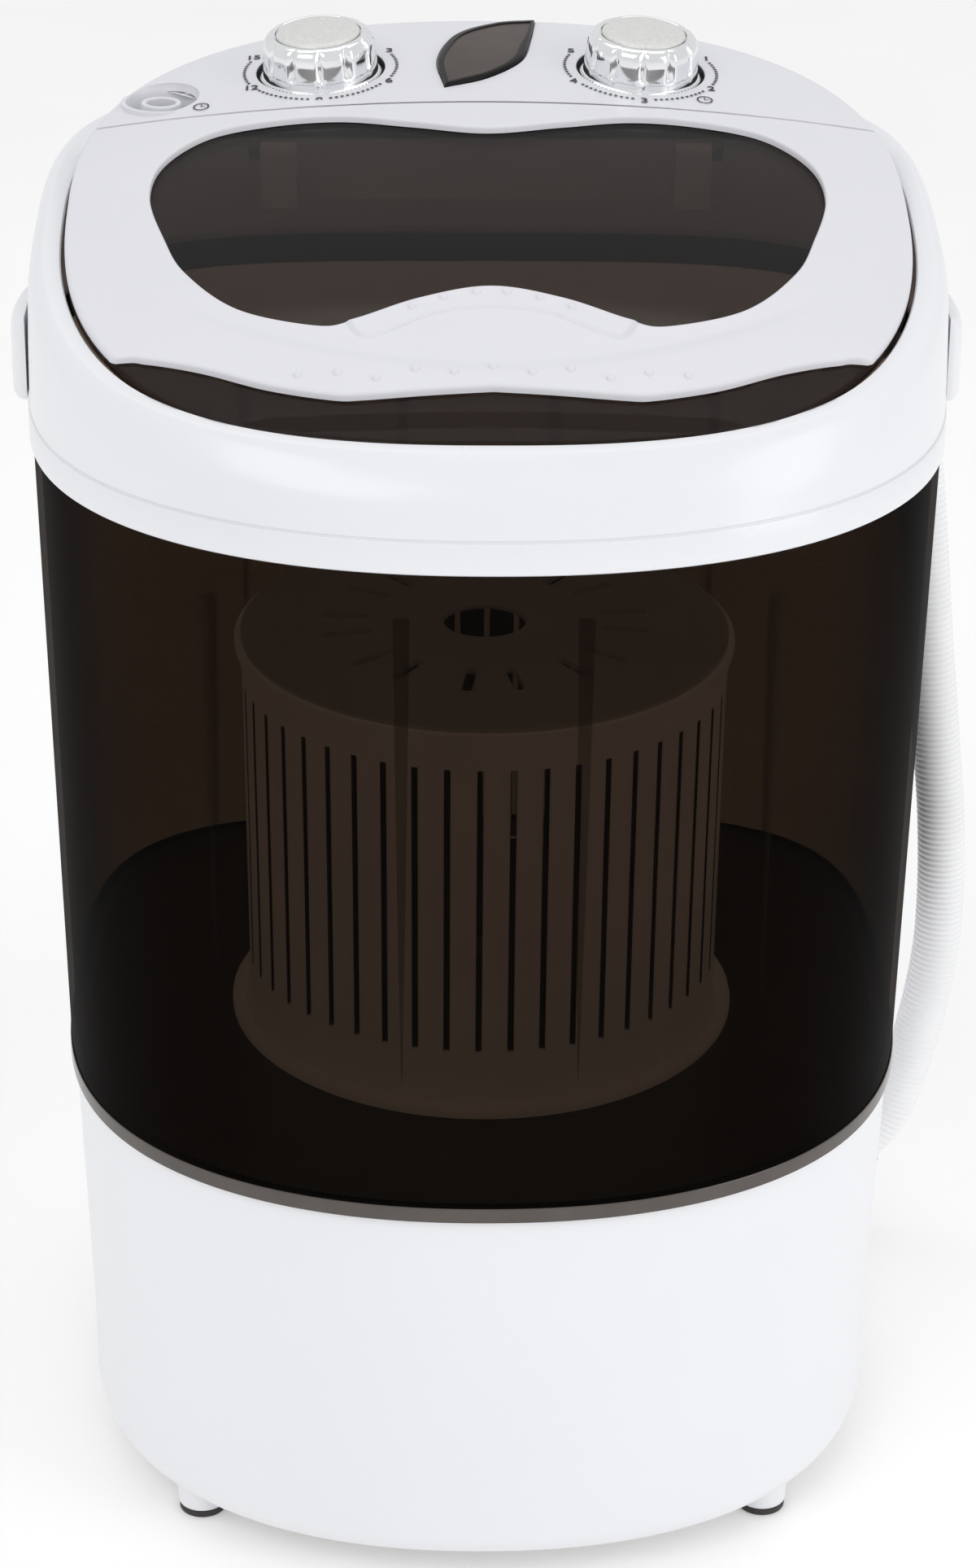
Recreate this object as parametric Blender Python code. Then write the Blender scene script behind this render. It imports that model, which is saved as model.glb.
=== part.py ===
"""Portable mini washer: a clear-sided tub on a white base, with a lid, two dials, a spin basket and a belt drive."""

import math

import bmesh
import bpy
from mathutils import Matrix, Vector

# All sizes are in metres. The origin is on the floor under the middle, and the front faces -Y.
GAP = 0.0003
PLAN_POINTS = 48

# The plan is a rounded square. Its rear corners are squarer than its front ones.
FRONT_POWERS = (2.178, 2.535)
REAR_POWERS = (4.0, 4.0)

# Heights of the shells.
BASE_BOTTOM = 0.0140
BASE_TOP = 0.1734
TUB_BOTTOM = 0.1737
FLOOR_TOP = 0.1768
TUB_SHOULDER = 0.4419
TUB_TOP = 0.4545
COLLAR_BOTTOM = 0.4422
COLLAR_STEP = 0.4557

# The lid and the console share one domed top: its height falls to the front and to the sides.
DOME_TOP = 0.5529
DOME_REAR_Y = 0.150
DOME_SLOPE = 0.0442
DOME_CURVE = 0.628
DOME_SIDE = 2.2
DOME_HALF_WIDTH = 0.160
DOME_HALF_DEPTH = 0.1508
DOME_POWER = 2.58
SEAM_Y = 0.0626
SEAM_BEND = 0.10

# The lid hinge runs along X under the lid's rear edge.
HINGE_Y = 0.0480
HINGE_Z = 0.5280
HINGE_X = 0.0810

# The two dials stand square to the dome.
DIALS = {"wash": (-0.0655, 0.0985), "spin": (0.0625, 0.0985)}

# The drive under the tub floor.
MOTOR_X = -0.098
DRUM_PULLEY_R = 0.0525
MOTOR_PULLEY_R = 0.0105
PULLEY_LOW = 0.036
PULLEY_HIGH = 0.050

# The drain hose: a smooth curve through these points, from the elbow up to the hook.
HOSE_RADIUS = 0.0105
HOSE_ROUTE = (
    (0.1690, 0.1060, 0.0386),
    (0.1772, 0.1062, 0.0470),
    (0.1880, 0.1080, 0.0615),
    (0.1972, 0.1100, 0.0915),
    (0.2045, 0.1120, 0.1311),
    (0.2064, 0.1140, 0.1640),
    (0.2048, 0.1160, 0.2045),
    (0.2005, 0.1185, 0.2450),
    (0.1955, 0.1225, 0.2900),
    (0.1900, 0.1300, 0.3480),
    (0.1830, 0.1395, 0.4050),
    (0.1725, 0.1490, 0.4560),
    (0.1660, 0.1540, 0.4850),
)

FINISHES = {
    "white": ((0.83, 0.85, 0.84), 0.35, 0.0),
    "smoke": ((0.035, 0.024, 0.019), 0.12, 0.0),
    "rubber": ((0.03, 0.03, 0.032), 0.75, 0.0),
    "chrome": ((0.80, 0.81, 0.82), 0.12, 1.0),
    "pearl": ((0.72, 0.72, 0.69), 0.28, 0.6),
    "steel": ((0.60, 0.61, 0.62), 0.35, 1.0),
    "cast": ((0.42, 0.43, 0.44), 0.5, 1.0),
    "grey": ((0.30, 0.31, 0.32), 0.5, 0.0),
    "basket": ((0.55, 0.56, 0.57), 0.4, 0.0),
    "hose": ((0.85, 0.85, 0.83), 0.45, 0.0),
    "brass": ((0.72, 0.55, 0.27), 0.3, 1.0),
}


def material(name, finish):
    color, roughness, metallic = FINISHES[finish]
    made = bpy.data.materials.new(name)
    made.use_nodes = True
    shader = made.node_tree.nodes["Principled BSDF"]
    shader.inputs["Base Color"].default_value = (*color, 1.0)
    shader.inputs["Roughness"].default_value = roughness
    shader.inputs["Metallic"].default_value = metallic
    return made


def add(name, shape, finish="white", frame=None, sharp=30.0):
    """One object from (points, faces) given in its own frame, with outward normals and smooth round sides."""
    mesh = bpy.data.meshes.new(name)
    mesh.from_pydata(shape[0], [], shape[1])
    work = bmesh.new()
    work.from_mesh(mesh)
    bmesh.ops.recalc_face_normals(work, faces=work.faces)
    work.to_mesh(mesh)
    work.free()
    mesh.shade_smooth()
    mesh.set_sharp_from_angle(angle=math.radians(sharp))
    obj = bpy.data.objects.new(name, mesh)
    bpy.context.scene.collection.objects.link(obj)
    if frame is not None:
        obj.matrix_world = frame
    mesh.materials.append(material(name, finish))
    return obj


def triangulate(mesh):
    work = bmesh.new()
    work.from_mesh(mesh)
    bmesh.ops.triangulate(work, faces=work.faces)
    work.to_mesh(mesh)
    work.free()


def combine(obj, other, operation="DIFFERENCE"):
    """Cuts the other object from this one, or joins it on, and removes the other."""
    triangulate(obj.data)
    modifier = obj.modifiers.new("combine", "BOOLEAN")
    modifier.operation = operation
    modifier.solver = "EXACT"
    modifier.object = other
    bpy.context.view_layer.update()
    graph = bpy.context.evaluated_depsgraph_get()
    mesh = bpy.data.meshes.new_from_object(obj.evaluated_get(graph))
    obj.modifiers.clear()
    obj.data = mesh
    bpy.data.objects.remove(other)


def cut(obj, shape, frame=None):
    combine(obj, add("cutter", shape, frame=frame))


def join(obj, shape, frame=None):
    combine(obj, add("addition", shape, frame=frame), "UNION")


def set_origin(obj, point):
    """Moves an object's origin without moving its surface."""
    shift = Matrix.Translation(-Vector(point))
    obj.data.transform(shift @ obj.matrix_world)
    obj.matrix_world = Matrix.Translation(Vector(point))


def loft(rings, wrap=False):
    """Joins rings of equally many points. It closes on the first ring, or has a cap at each end."""
    count = len(rings[0])
    points = [point for ring in rings for point in ring]
    faces = []
    for i in range(len(rings) if wrap else len(rings) - 1):
        low = i * count
        high = (i + 1) % len(rings) * count
        for j in range(count):
            k = (j + 1) % count
            faces.append((low + j, low + k, high + k, high + j))
    if not wrap:
        faces.append(tuple(range(count)))
        faces.append(tuple(range(len(points) - count, len(points))))
    return points, faces


def circle(radius, z, count=32, turn=0.0):
    angles = [turn + 2 * math.pi * i / count for i in range(count)]
    return [(radius * math.cos(a), radius * math.sin(a), z) for a in angles]


def turned(profile, count=32, wrap=False):
    """A round piece from its (radius, height) profile. It wraps where it has a hole through it."""
    return loft([circle(radius, z, count) for radius, z in profile], wrap)


def block(low, high):
    corners = [(low[0], low[1]), (high[0], low[1]), (high[0], high[1]), (low[0], high[1])]
    return loft([[(x, y, low[2]) for x, y in corners], [(x, y, high[2]) for x, y in corners]])


def prism(outline, low, high):
    """A flat outline in X and Y, stretched between two heights."""
    return loft([[(x, y, low) for x, y in outline], [(x, y, high) for x, y in outline]])


def across(outline, low, high):
    """A flat outline in Y and Z, stretched along X."""
    return loft([[(low, y, z) for y, z in outline], [(high, y, z) for y, z in outline]])


def reach(angle, a, b, powers):
    """How far a rounded outline with these half sizes is from its middle at this angle."""
    c = abs(math.cos(angle)) / a
    s = abs(math.sin(angle)) / b
    low = 0.0
    high = 2.0 * max(a, b)
    for _ in range(36):
        middle = 0.5 * (low + high)
        inside = (middle * c) ** powers[0] + (middle * s) ** powers[1] < 1.0
        low, high = (middle, high) if inside else (low, middle)
    return low


def plan(a, z, front=None, rear=None, soft=0.0, count=PLAN_POINTS):
    """One ring of the body's plan, softened towards the lid's outline. z is a height, or a function of x and y."""
    ring = []
    for i in range(count):
        angle = 2 * math.pi * (i + 0.5) / count
        ahead = math.sin(angle) < 0
        depth = (front or a) if ahead else (rear or a)
        powers = [p + soft * (DOME_POWER - p) for p in (FRONT_POWERS if ahead else REAR_POWERS)]
        r = reach(angle, a, depth, powers)
        x = r * math.cos(angle)
        y = r * math.sin(angle)
        ring.append((x, y, z(x, y) if callable(z) else z))
    return ring


def dome(x, y):
    u = DOME_REAR_Y - y
    return DOME_TOP - DOME_SLOPE * u - DOME_CURVE * u * u - x * x / DOME_SIDE


def seam(x):
    return SEAM_Y - SEAM_BEND * x * x


def smooth_step(value):
    value = min(1.0, max(0.0, value))
    return value * value * (3.0 - 2.0 * value)


def between(value, table):
    """A straight-line look-up in a table of (key, result) in rising order of key."""
    if value <= table[0][0]:
        return table[0][1]
    for (k0, r0), (k1, r1) in zip(table, table[1:]):
        if value <= k1:
            return r0 + (r1 - r0) * (value - k0) / (k1 - k0)
    return table[-1][1]


# The collar's rim follows the lid's edge: low at the front and high at the rear.
RIM_HEIGHTS = (
    (-0.158, 0.481),
    (-0.130, 0.4845),
    (-0.100, 0.4900),
    (-0.050, 0.5035),
    (0.000, 0.5150),
    (0.050, 0.5222),
    (0.090, 0.5250),
)


def rim(x, y):
    return between(y, RIM_HEIGHTS)


def base_shell():
    outer = [(0.1605, BASE_BOTTOM), (0.1622, 0.0156), (0.1637, 0.0215), (0.1641, 0.050)]
    outer += [(0.1656, 0.100), (0.1672, 0.150), (0.1680, BASE_TOP)]
    inner = [(0.1652, BASE_TOP), (0.1644, 0.150), (0.1628, 0.100), (0.1613, 0.050)]
    inner += [(0.1609, 0.0195), (0.1275, 0.0165), (0.1275, BASE_BOTTOM)]
    shell = add("base_shell", loft([plan(a, z) for a, z in outer + inner], True))
    cut(shell, turned([(0.0090, -0.010), (0.0090, 0.012)], 24), drain_frame())
    cut(shell, turned([(0.0072, -0.015), (0.0072, 0.010)], 24), cord_frame())


def drain_frame():
    """Where the drain leaves the base's right side, with local Z pointing out."""
    return Matrix.Translation((0.1570, 0.1060, 0.0330)) @ Matrix.Rotation(math.pi / 2, 4, "Y")


def cord_frame():
    return Matrix.Translation((-0.060, 0.1625, 0.0450)) @ Matrix.Rotation(-math.pi / 2, 4, "X")


def base_plate():
    add("base_plate", loft([plan(0.1270, BASE_BOTTOM), plan(0.1270, 0.0165)]), "grey")


def feet():
    places = {"front_left": (-1, -1), "front_right": (1, -1), "rear_left": (-1, 1), "rear_right": (1, 1)}
    for place, (side, end) in places.items():
        spot = Matrix.Translation((side * 0.1150, end * 0.1083, 0.0))
        post = [(0.0098, 0.0033), (0.0105, 0.0045), (0.0105, BASE_BOTTOM - GAP)]
        add("foot_" + place, turned(post, 16), "white", spot)
        pad = [(0.0090, 0.0), (0.0096, 0.0006), (0.0096, 0.0030)]
        add("foot_pad_" + place, turned(pad, 16), "rubber", spot)


def tub_ring(z, inset=0.0):
    return 0.1693 + 0.0053 * (z - TUB_BOTTOM) / 0.2685 - inset


def tub():
    outer = [(0.1700, TUB_BOTTOM), (0.1700, 0.1795), (tub_ring(0.1800), 0.1800)]
    outer += [(tub_ring(0.310), 0.310), (tub_ring(TUB_SHOULDER), TUB_SHOULDER)]
    outer += [(0.1730, TUB_SHOULDER), (0.1730, TUB_TOP), (0.1706, TUB_TOP), (0.1706, 0.4390)]
    inner = [(tub_ring(0.4340, 0.0024), 0.4340), (tub_ring(0.310, 0.0024), 0.310)]
    inner += [(tub_ring(0.1830, 0.0026), 0.1830), (0.1625, FLOOR_TOP), (0.090, FLOOR_TOP)]
    rings = [plan(a, z) for a, z in outer + inner]
    rings.append(circle(0.030, FLOOR_TOP, PLAN_POINTS, math.pi / PLAN_POINTS))
    rings.append(circle(0.012, FLOOR_TOP, PLAN_POINTS, math.pi / PLAN_POINTS))
    rings.append(circle(0.012, 0.1740, PLAN_POINTS, math.pi / PLAN_POINTS))
    rings.append(circle(0.030, 0.1740, PLAN_POINTS, math.pi / PLAN_POINTS))
    rings.append(plan(0.090, 0.1740))
    rings.append(plan(0.1650, 0.1740))
    shell = add("tub", loft(rings, True), "smoke")
    for x in (-0.102, -0.033, 0.033, 0.102):
        for end in (-1, 1):
            join(shell, rib(x, end))


def rib(x, end):
    """One stiffening rib inside the tub's wall, widest near the top and running out to nothing below."""
    ahead = FRONT_POWERS if end < 0 else REAR_POWERS
    wall = {}
    for z in (0.4200, 0.2310):
        a = tub_ring(z, 0.0013)
        wall[z] = a * (1.0 - (abs(x) / a) ** ahead[0]) ** (1.0 / ahead[1])
    outline = [(end * wall[0.2310], 0.2310), (end * wall[0.4200], 0.4200), (end * (wall[0.4200] - 0.010), 0.4170)]
    return across(outline, x - 0.0015, x + 0.0015)


def collar_ring(a, front, rear, soft, share, lift):
    height = lambda x, y: COLLAR_STEP + share * (rim(x, y) - COLLAR_STEP) + lift
    return plan(a, height, front, rear, soft)


def collar():
    rings = (
        (0.1760, 0.1760, 0.1760, 0.0, 0.0, -0.0135),
        (0.1760, 0.1760, 0.1760, 0.0, 0.0, -0.0003),
        (0.1754, 0.1754, 0.1754, 0.0, 0.0, 0.0),
        (0.1749, 0.1705, 0.1749, 0.2, 0.50, 0.0),
        (0.1738, 0.1632, 0.1733, 0.4, 0.85, 0.0),
        (0.1695, 0.1580, 0.1670, 0.7, 1.0, 0.0),
        (0.1615, 0.1518, 0.1530, 1.0, 1.0, 0.0008),
        (0.1615, 0.1518, 0.1530, 1.0, 1.0, -0.0022),
        (0.1685, 0.1570, 0.1655, 0.7, 1.0, -0.0032),
        (0.1714, 0.1612, 0.1709, 0.4, 0.85, -0.0012),
        (0.1725, 0.1675, 0.1725, 0.2, 0.50, -0.0012),
        (0.1728, 0.1726, 0.1728, 0.0, 0.0, 0.0018),
        (0.1735, 0.1735, 0.1735, 0.0, 0.0, 0.0012),
        (0.1735, 0.1735, 0.1735, 0.0, 0.0, -0.0135),
    )
    add("collar", loft([collar_ring(*ring) for ring in rings], True))


def dome_outline(scale, drop, grow=0.0, count=PLAN_POINTS, middle=(0.0, 0.0)):
    ring = []
    for i in range(count):
        angle = 2 * math.pi * (i + 0.5) / count
        r = reach(angle, DOME_HALF_WIDTH + grow, DOME_HALF_DEPTH + grow, (DOME_POWER, DOME_POWER))
        x = middle[0] + scale * (r * math.cos(angle) - middle[0])
        y = middle[1] + scale * (r * math.sin(angle) - middle[1])
        ring.append((x, y, dome(x, y) - drop))
    return ring


def seam_block(step):
    """Everything ahead of the seam, moved by this step along Y."""
    xs = [-0.20 + 0.02 * i for i in range(21)]
    outline = [(x, seam(x) + step) for x in xs]
    outline += [(0.20, -0.25), (-0.20, -0.25)]
    return prism(outline, 0.40, 0.62)


def dial_frame(name):
    """The dial's axis: its middle on the dome, with local Z square to the dome."""
    x, y = DIALS[name]
    u = DOME_REAR_Y - y
    normal = Vector((2 * x / DOME_SIDE, -DOME_SLOPE - 2 * DOME_CURVE * u, 1.0)).normalized()
    turn = normal.to_track_quat("Z", "Y").to_matrix().to_4x4()
    return Matrix.Translation((x, y, dome(x, y))) @ turn


def inlet_frame():
    x, y = -0.1284, 0.0813
    return Matrix.Translation((x, y, dome(x, y)))


def console_panel():
    middle = (0.0, 0.09)
    rings = [dome_outline(scale, 0.0026, -0.0025, middle=middle) for scale in (0.25, 0.62)]
    rings.append(dome_outline(1.0, 0.0030, -0.0026))
    for inset in (0.0026, 0.0):
        edge = dome_outline(1.0, 0.0, -inset)
        rings.append([(x, y, 0.5120) for x, y, _ in edge])
    rings.append(dome_outline(1.0, 0.0016))
    rings.append(dome_outline(1.0, 0.0004, -0.0005))
    rings += [dome_outline(scale, 0.0, -0.0014, middle=middle) for scale in (1.0, 0.80, 0.55, 0.25)]
    panel = add("console_panel", loft(rings))
    cut(panel, seam_block(0.0004))
    cut(panel, hinge_sweep())
    for name in DIALS:
        frame = dial_frame(name)
        join(panel, turned([(0.0285, -0.0085), (0.0285, -0.0015)], 32), frame)
        cut(panel, turned([(0.0258, -0.0040), (0.0258, 0.0060)], 32), frame)
        cut(panel, turned([(0.0042, -0.0120), (0.0042, 0.0010)], 16), frame)
    join(panel, turned([(0.0160, -0.0140), (0.0160, -0.0012)], 24), inlet_frame())
    cut(panel, turned([(0.0140, -0.0090), (0.0140, 0.0080)], 24), inlet_frame())
    cut(panel, turned([(0.0090, -0.0200), (0.0090, 0.0)], 24), inlet_frame())
    cut(panel, leaf(0.0007, -0.0012, 0.0060))


def hinge_sweep():
    """The room that the lid's rear edge needs as it swings: a spindle round the hinge axis."""
    rings = []
    for i in range(17):
        x = -0.168 + 0.021 * i
        y = seam(x) - 0.0004
        radius = math.hypot(y - HINGE_Y, dome(x, y) - HINGE_Z) + 0.0004
        turns = [2 * math.pi * j / 24 for j in range(24)]
        rings.append([(x, HINGE_Y + radius * math.cos(t), HINGE_Z + radius * math.sin(t)) for t in turns])
    return loft(rings)


LEAF = ((-0.0160, 0.0756), (-0.0187, 0.1020), (-0.0113, 0.1294), (0.0060, 0.1440), (0.0213, 0.1477))
LEAF_BACK = ((0.0190, 0.1260), (0.0145, 0.1021), (0.0012, 0.0850))


def leaf(grow, low, high):
    """The leaf-shaped window between the dials, from a low to a high offset from the dome."""
    outline = smooth_loop(LEAF + LEAF_BACK, 3)
    cx = sum(x for x, _ in outline) / len(outline)
    cy = sum(y for _, y in outline) / len(outline)
    rings = []
    for share, lift in ((0.4, low), (1.0, low), (1.0, high), (0.4, high)):
        ring = []
        for x, y in outline:
            away = Vector((x - cx, y - cy))
            moved = (away + away.normalized() * grow) * share
            px = cx + moved.x
            py = cy + moved.y
            ring.append((px, py, dome(px, py) + lift))
        rings.append(ring)
    return loft(rings)


def smooth_loop(points, steps):
    """A closed smooth curve through flat points."""
    made = []
    count = len(points)
    for i in range(count):
        p = [Vector(points[(i + k) % count]) for k in (-1, 0, 1, 2)]
        for j in range(steps):
            made.append(tuple(spline_point(p, j / steps)))
    return made


def spline_point(p, t):
    """A point on the smooth curve from p[1] to p[2]."""
    a = 2 * p[1]
    b = p[2] - p[0]
    c = 2 * p[0] - 5 * p[1] + 4 * p[2] - p[3]
    d = 3 * p[1] - p[0] - 3 * p[2] + p[3]
    return 0.5 * (a + b * t + c * t * t + d * t * t * t)


def leaf_window():
    add("leaf_window", leaf(0.0, -0.0008, 0.0014), "smoke")


def inlet_nozzle():
    profile = [(0.0060, -0.0400), (0.0080, -0.0400), (0.0080, -0.0030), (0.0060, -0.0030)]
    add("inlet_nozzle", turned(profile, 24, True), "white", inlet_frame())


def timer_housing():
    outer = block((-0.1000, 0.0708, 0.5017), (0.1000, 0.1260, 0.5262))
    housing = add("timer_housing", outer, "grey")
    cut(housing, block((-0.0978, 0.0733, 0.5042), (0.0978, 0.1238, 0.5300)))
    for side in (-1, 1):
        wing = sorted((side * 0.0990, side * 0.1110))
        join(housing, block((wing[0], 0.0708, 0.5017), (wing[1], 0.0733, 0.5262)))
        lug = sorted((side * (HINGE_X - 0.007), side * (HINGE_X + 0.007)))
        join(housing, across(lug_outline(), *lug))
        cut(housing, across(hinge_circle(0.0016), lug[0] - 0.001, lug[1] + 0.001))


def hinge_circle(radius, count=16):
    turns = [2 * math.pi * (i + 0.5) / count for i in range(count)]
    return [(HINGE_Y + radius * math.cos(t), HINGE_Z + radius * math.sin(t)) for t in turns]


def lug_outline():
    """The side view of a hinge lug: an arm from the housing that turns up to a round eye on the axis."""
    eye = [(HINGE_Y + 0.0038 * math.cos(t), HINGE_Z + 0.0038 * math.sin(t)) for t in arc(0.0, math.pi, 8)]
    return [(0.0720, 0.5025), (0.0720, 0.5092), (0.0518, 0.5092)] + eye + [(0.0442, 0.5060), (0.0475, 0.5025)]


def arc(start, end, count):
    return [start + (end - start) * i / (count - 1) for i in range(count)]


def timer(name):
    frame = dial_frame(name)
    body = add(name + "_timer", turned([(0.0215, -0.0300), (0.0215, -0.0110), (0.0190, -0.0092)], 24), "grey", frame)
    shaft = add(name + "_timer_shaft", turned([(0.0030, -0.0088), (0.0030, 0.0090)], 16), "brass", frame)
    return body, shaft


def knob(name):
    """The dial's knob: a flange, then a body with shallow flutes, a dished top and a bore for the shaft."""
    frame = dial_frame(name)
    count = 48
    profile = ((0.0237, -0.0034, 0), (0.0237, -0.0012, 0), (0.0221, 0.0002, 0), (0.0219, 0.0022, 1))
    profile += ((0.0212, 0.0120, 1), (0.0196, 0.0146, 0.4), (0.0176, 0.0152, 0), (0.0172, 0.0130, 0))
    rings = [fluted(radius, z, flute, count) for radius, z, flute in profile]
    body = add(name + "_knob", loft(rings), "chrome", frame)
    cut(body, turned([(0.0034, -0.0060), (0.0034, 0.0096)], 16), frame)
    cap = [(0.0166, 0.0133), (0.0168, 0.0150), (0.0158, 0.0160), (0.0110, 0.0166), (0.0050, 0.0168)]
    add(name + "_knob_cap", turned(cap, 28), "pearl", frame)


def fluted(radius, z, flute, count):
    ring = []
    for i in range(count):
        angle = 2 * math.pi * i / count
        depth = 0.0011 * flute * abs(math.sin(6 * angle)) ** 0.7
        r = radius - 0.0011 * flute + depth
        ring.append((r * math.cos(angle), r * math.sin(angle), z))
    return ring


WINDOW = (
    (0.0000, 0.0400),
    (0.0290, 0.0458),
    (0.0575, 0.0525),
    (0.0860, 0.0515),
    (0.1090, 0.0445),
    (0.1250, 0.0250),
    (0.1285, 0.0000),
    (0.1216, -0.0294),
    (0.1127, -0.0525),
    (0.0930, -0.0762),
    (0.0635, -0.0886),
    (0.0490, -0.0862),
    (0.0260, -0.0757),
    (0.0000, -0.0693),
)
LID_FRONT = (
    (0.0000, -0.1228),
    (0.0230, -0.1243),
    (0.0460, -0.1258),
    (0.0580, -0.1251),
    (0.0814, -0.1182),
    (0.1050, -0.1070),
    (0.1310, -0.0978),
    (0.2000, -0.0960),
)
LID_MIDDLE_Y = -0.015
LID_ANGLES = 52


def mirrored(points):
    """The whole outline from its right half, which starts and ends on the middle line."""
    return list(points) + [(-x, y) for x, y in reversed(points[1:-1])]


def window_table():
    """The window's outline as (angle, radius) about the lid's middle."""
    table = []
    for x, y in smooth_loop(mirrored(WINDOW), 6):
        angle = math.atan2(y - LID_MIDDLE_Y, x) % (2 * math.pi)
        table.append((angle, math.hypot(x, y - LID_MIDDLE_Y)))
    table.sort()
    low = (table[-1][0] - 2 * math.pi, table[-1][1])
    high = (table[0][0] + 2 * math.pi, table[0][1])
    return [low] + table + [high]


def in_lid(x, y):
    rounded = (abs(x) / DOME_HALF_WIDTH) ** DOME_POWER + (abs(y) / 0.1503) ** DOME_POWER
    return rounded < 1.0 and y < seam(x) - 0.0004


def in_frame(x, y):
    return in_lid(x, y) and y > between(abs(x), LID_FRONT)


def reach_in(inside, angle):
    low = 0.0
    high = 0.25
    for _ in range(30):
        middle = 0.5 * (low + high)
        x = middle * math.cos(angle)
        y = LID_MIDDLE_Y + middle * math.sin(angle)
        low, high = (middle, high) if inside(x, y) else (low, middle)
    return low


def lid_angles():
    """Evenly spread angles, with the outline's corners put in exactly."""
    corners = []
    for x, y in ((0.1552, 0.0597), (0.1373, -0.0979)):
        angle = math.atan2(y - LID_MIDDLE_Y, x)
        corners += [angle % (2 * math.pi), (math.pi - angle) % (2 * math.pi)]
    step = 2 * math.pi / LID_ANGLES
    even = [step * i for i in range(LID_ANGLES)]
    kept = [a for a in even if all(abs(a - c) > 0.5 * step for c in corners)]
    return sorted(kept + corners)


def lid_ring(angles, radii, share, drop, inner=None):
    ring = []
    for i, angle in enumerate(angles):
        start = inner[i] if inner else 0.0
        r = start + share * (radii[i] - start)
        x = r * math.cos(angle)
        y = LID_MIDDLE_Y + r * math.sin(angle)
        ring.append((x, y, dome(x, y) - (drop(y) if callable(drop) else drop)))
    return ring


def lid_frame():
    angles = lid_angles()
    table = window_table()
    inner = [between(a, table) for a in angles]
    outer = [reach_in(in_frame, a) for a in angles]
    top = [lid_ring(angles, outer, share, drop, inner) for share, drop in ((0.0, 0.0005), (0.05, 0.0))]
    top += [lid_ring(angles, outer, share, 0.0, inner) for share in (0.35, 0.68)]
    top += [lid_ring(angles, outer, share, drop, inner) for share, drop in ((0.96, 0.0), (1.0, 0.0006))]
    low = [lid_ring(angles, outer, share, 0.0027, inner) for share in (1.0, 0.68, 0.35, 0.0)]
    frame = add("lid_frame", loft(top + low, True))
    set_origin(frame, (0.0, HINGE_Y, HINGE_Z))


def panel_drop(y):
    """The clear panel lies under the frame, and rises to the rim ahead of it."""
    return 0.0030 - 0.0022 * smooth_step((-0.1310 - y) / 0.014)


def lid_panel():
    angles = lid_angles()
    outer = [reach_in(in_lid, a) for a in angles]
    shares = (0.12, 0.35, 0.58, 0.80, 0.90, 1.0)
    top = [lid_ring(angles, outer, share, panel_drop) for share in shares]
    low = [lid_ring(angles, outer, share, lambda y: panel_drop(y) + 0.0025) for share in reversed(shares)]
    panel = add("lid_panel", loft(top + low), "smoke")
    for side in (-1, 1):
        ear = sorted((side * (HINGE_X + 0.0074), side * (HINGE_X + 0.0114)))
        join(panel, across(ear_outline(), *ear))
        cut(panel, across(hinge_circle(0.0016), ear[0] - 0.001, ear[1] + 0.001))
    set_origin(panel, (0.0, HINGE_Y, HINGE_Z))


def ear_outline():
    """The side view of a lid ear: its top runs up into the panel, and its round end hangs on the pin."""
    eye = [(HINGE_Y + 0.0034 * math.cos(t), HINGE_Z + 0.0034 * math.sin(t)) for t in arc(0.0, -math.pi, 8)]
    return [(0.0410, 0.5335), (0.0520, 0.5345)] + eye


def hinge_pins():
    for name, side in (("left", -1), ("right", 1)):
        ends = sorted((side * (HINGE_X - 0.0068), side * (HINGE_X + 0.0112)))
        pin = add("hinge_pin_" + name, across(hinge_circle(0.0014), *ends), "steel")
        set_origin(pin, (0.0, HINGE_Y, HINGE_Z))


def handles():
    for name, side in (("left", -1), ("right", 1)):
        rings = []
        for z, out in ((0.4505, 0.0066), (0.4770, 0.0067), (0.4815, 0.0046), (0.4835, 0.0016)):
            turns = arc(-0.5 * math.pi, 0.5 * math.pi, 17)
            curve = [(0.1764 + out * math.cos(t) ** 0.8, 0.0205 * math.sin(t)) for t in turns[1:-1]]
            outline = [(0.1763, -0.0205)] + curve + [(0.1763, 0.0205)]
            rings.append([(side * x, y, z) for x, y in outline])
        handle = add("handle_" + name, loft(rings))
        pocket = sorted((side * 0.1770, side * 0.1802))
        cut(handle, block((pocket[0], -0.0120, 0.4400), (pocket[1], 0.0120, 0.4700)))


def bearing_parts():
    housing = [(0.0450, 0.1695), (0.0450, 0.1734), (0.0178, 0.1734), (0.0178, 0.0950), (0.0222, 0.0950)]
    housing += [(0.0222, 0.1640), (0.0260, 0.1695)]
    add("bearing_housing", turned(housing, 36, True), "cast")
    for name, low in (("lower", 0.0980), ("upper", 0.1480)):
        ring = [(0.0175, low), (0.0175, low + 0.0110), (0.0063, low + 0.0110), (0.0063, low)]
        add("bearing_" + name, turned(ring, 20, True), "steel")
    seal = [(0.0175, 0.1610), (0.0175, 0.1680), (0.0100, 0.1700), (0.0063, 0.1700), (0.0063, 0.1610)]
    add("shaft_seal", turned(seal, 20, True), "rubber")


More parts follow.
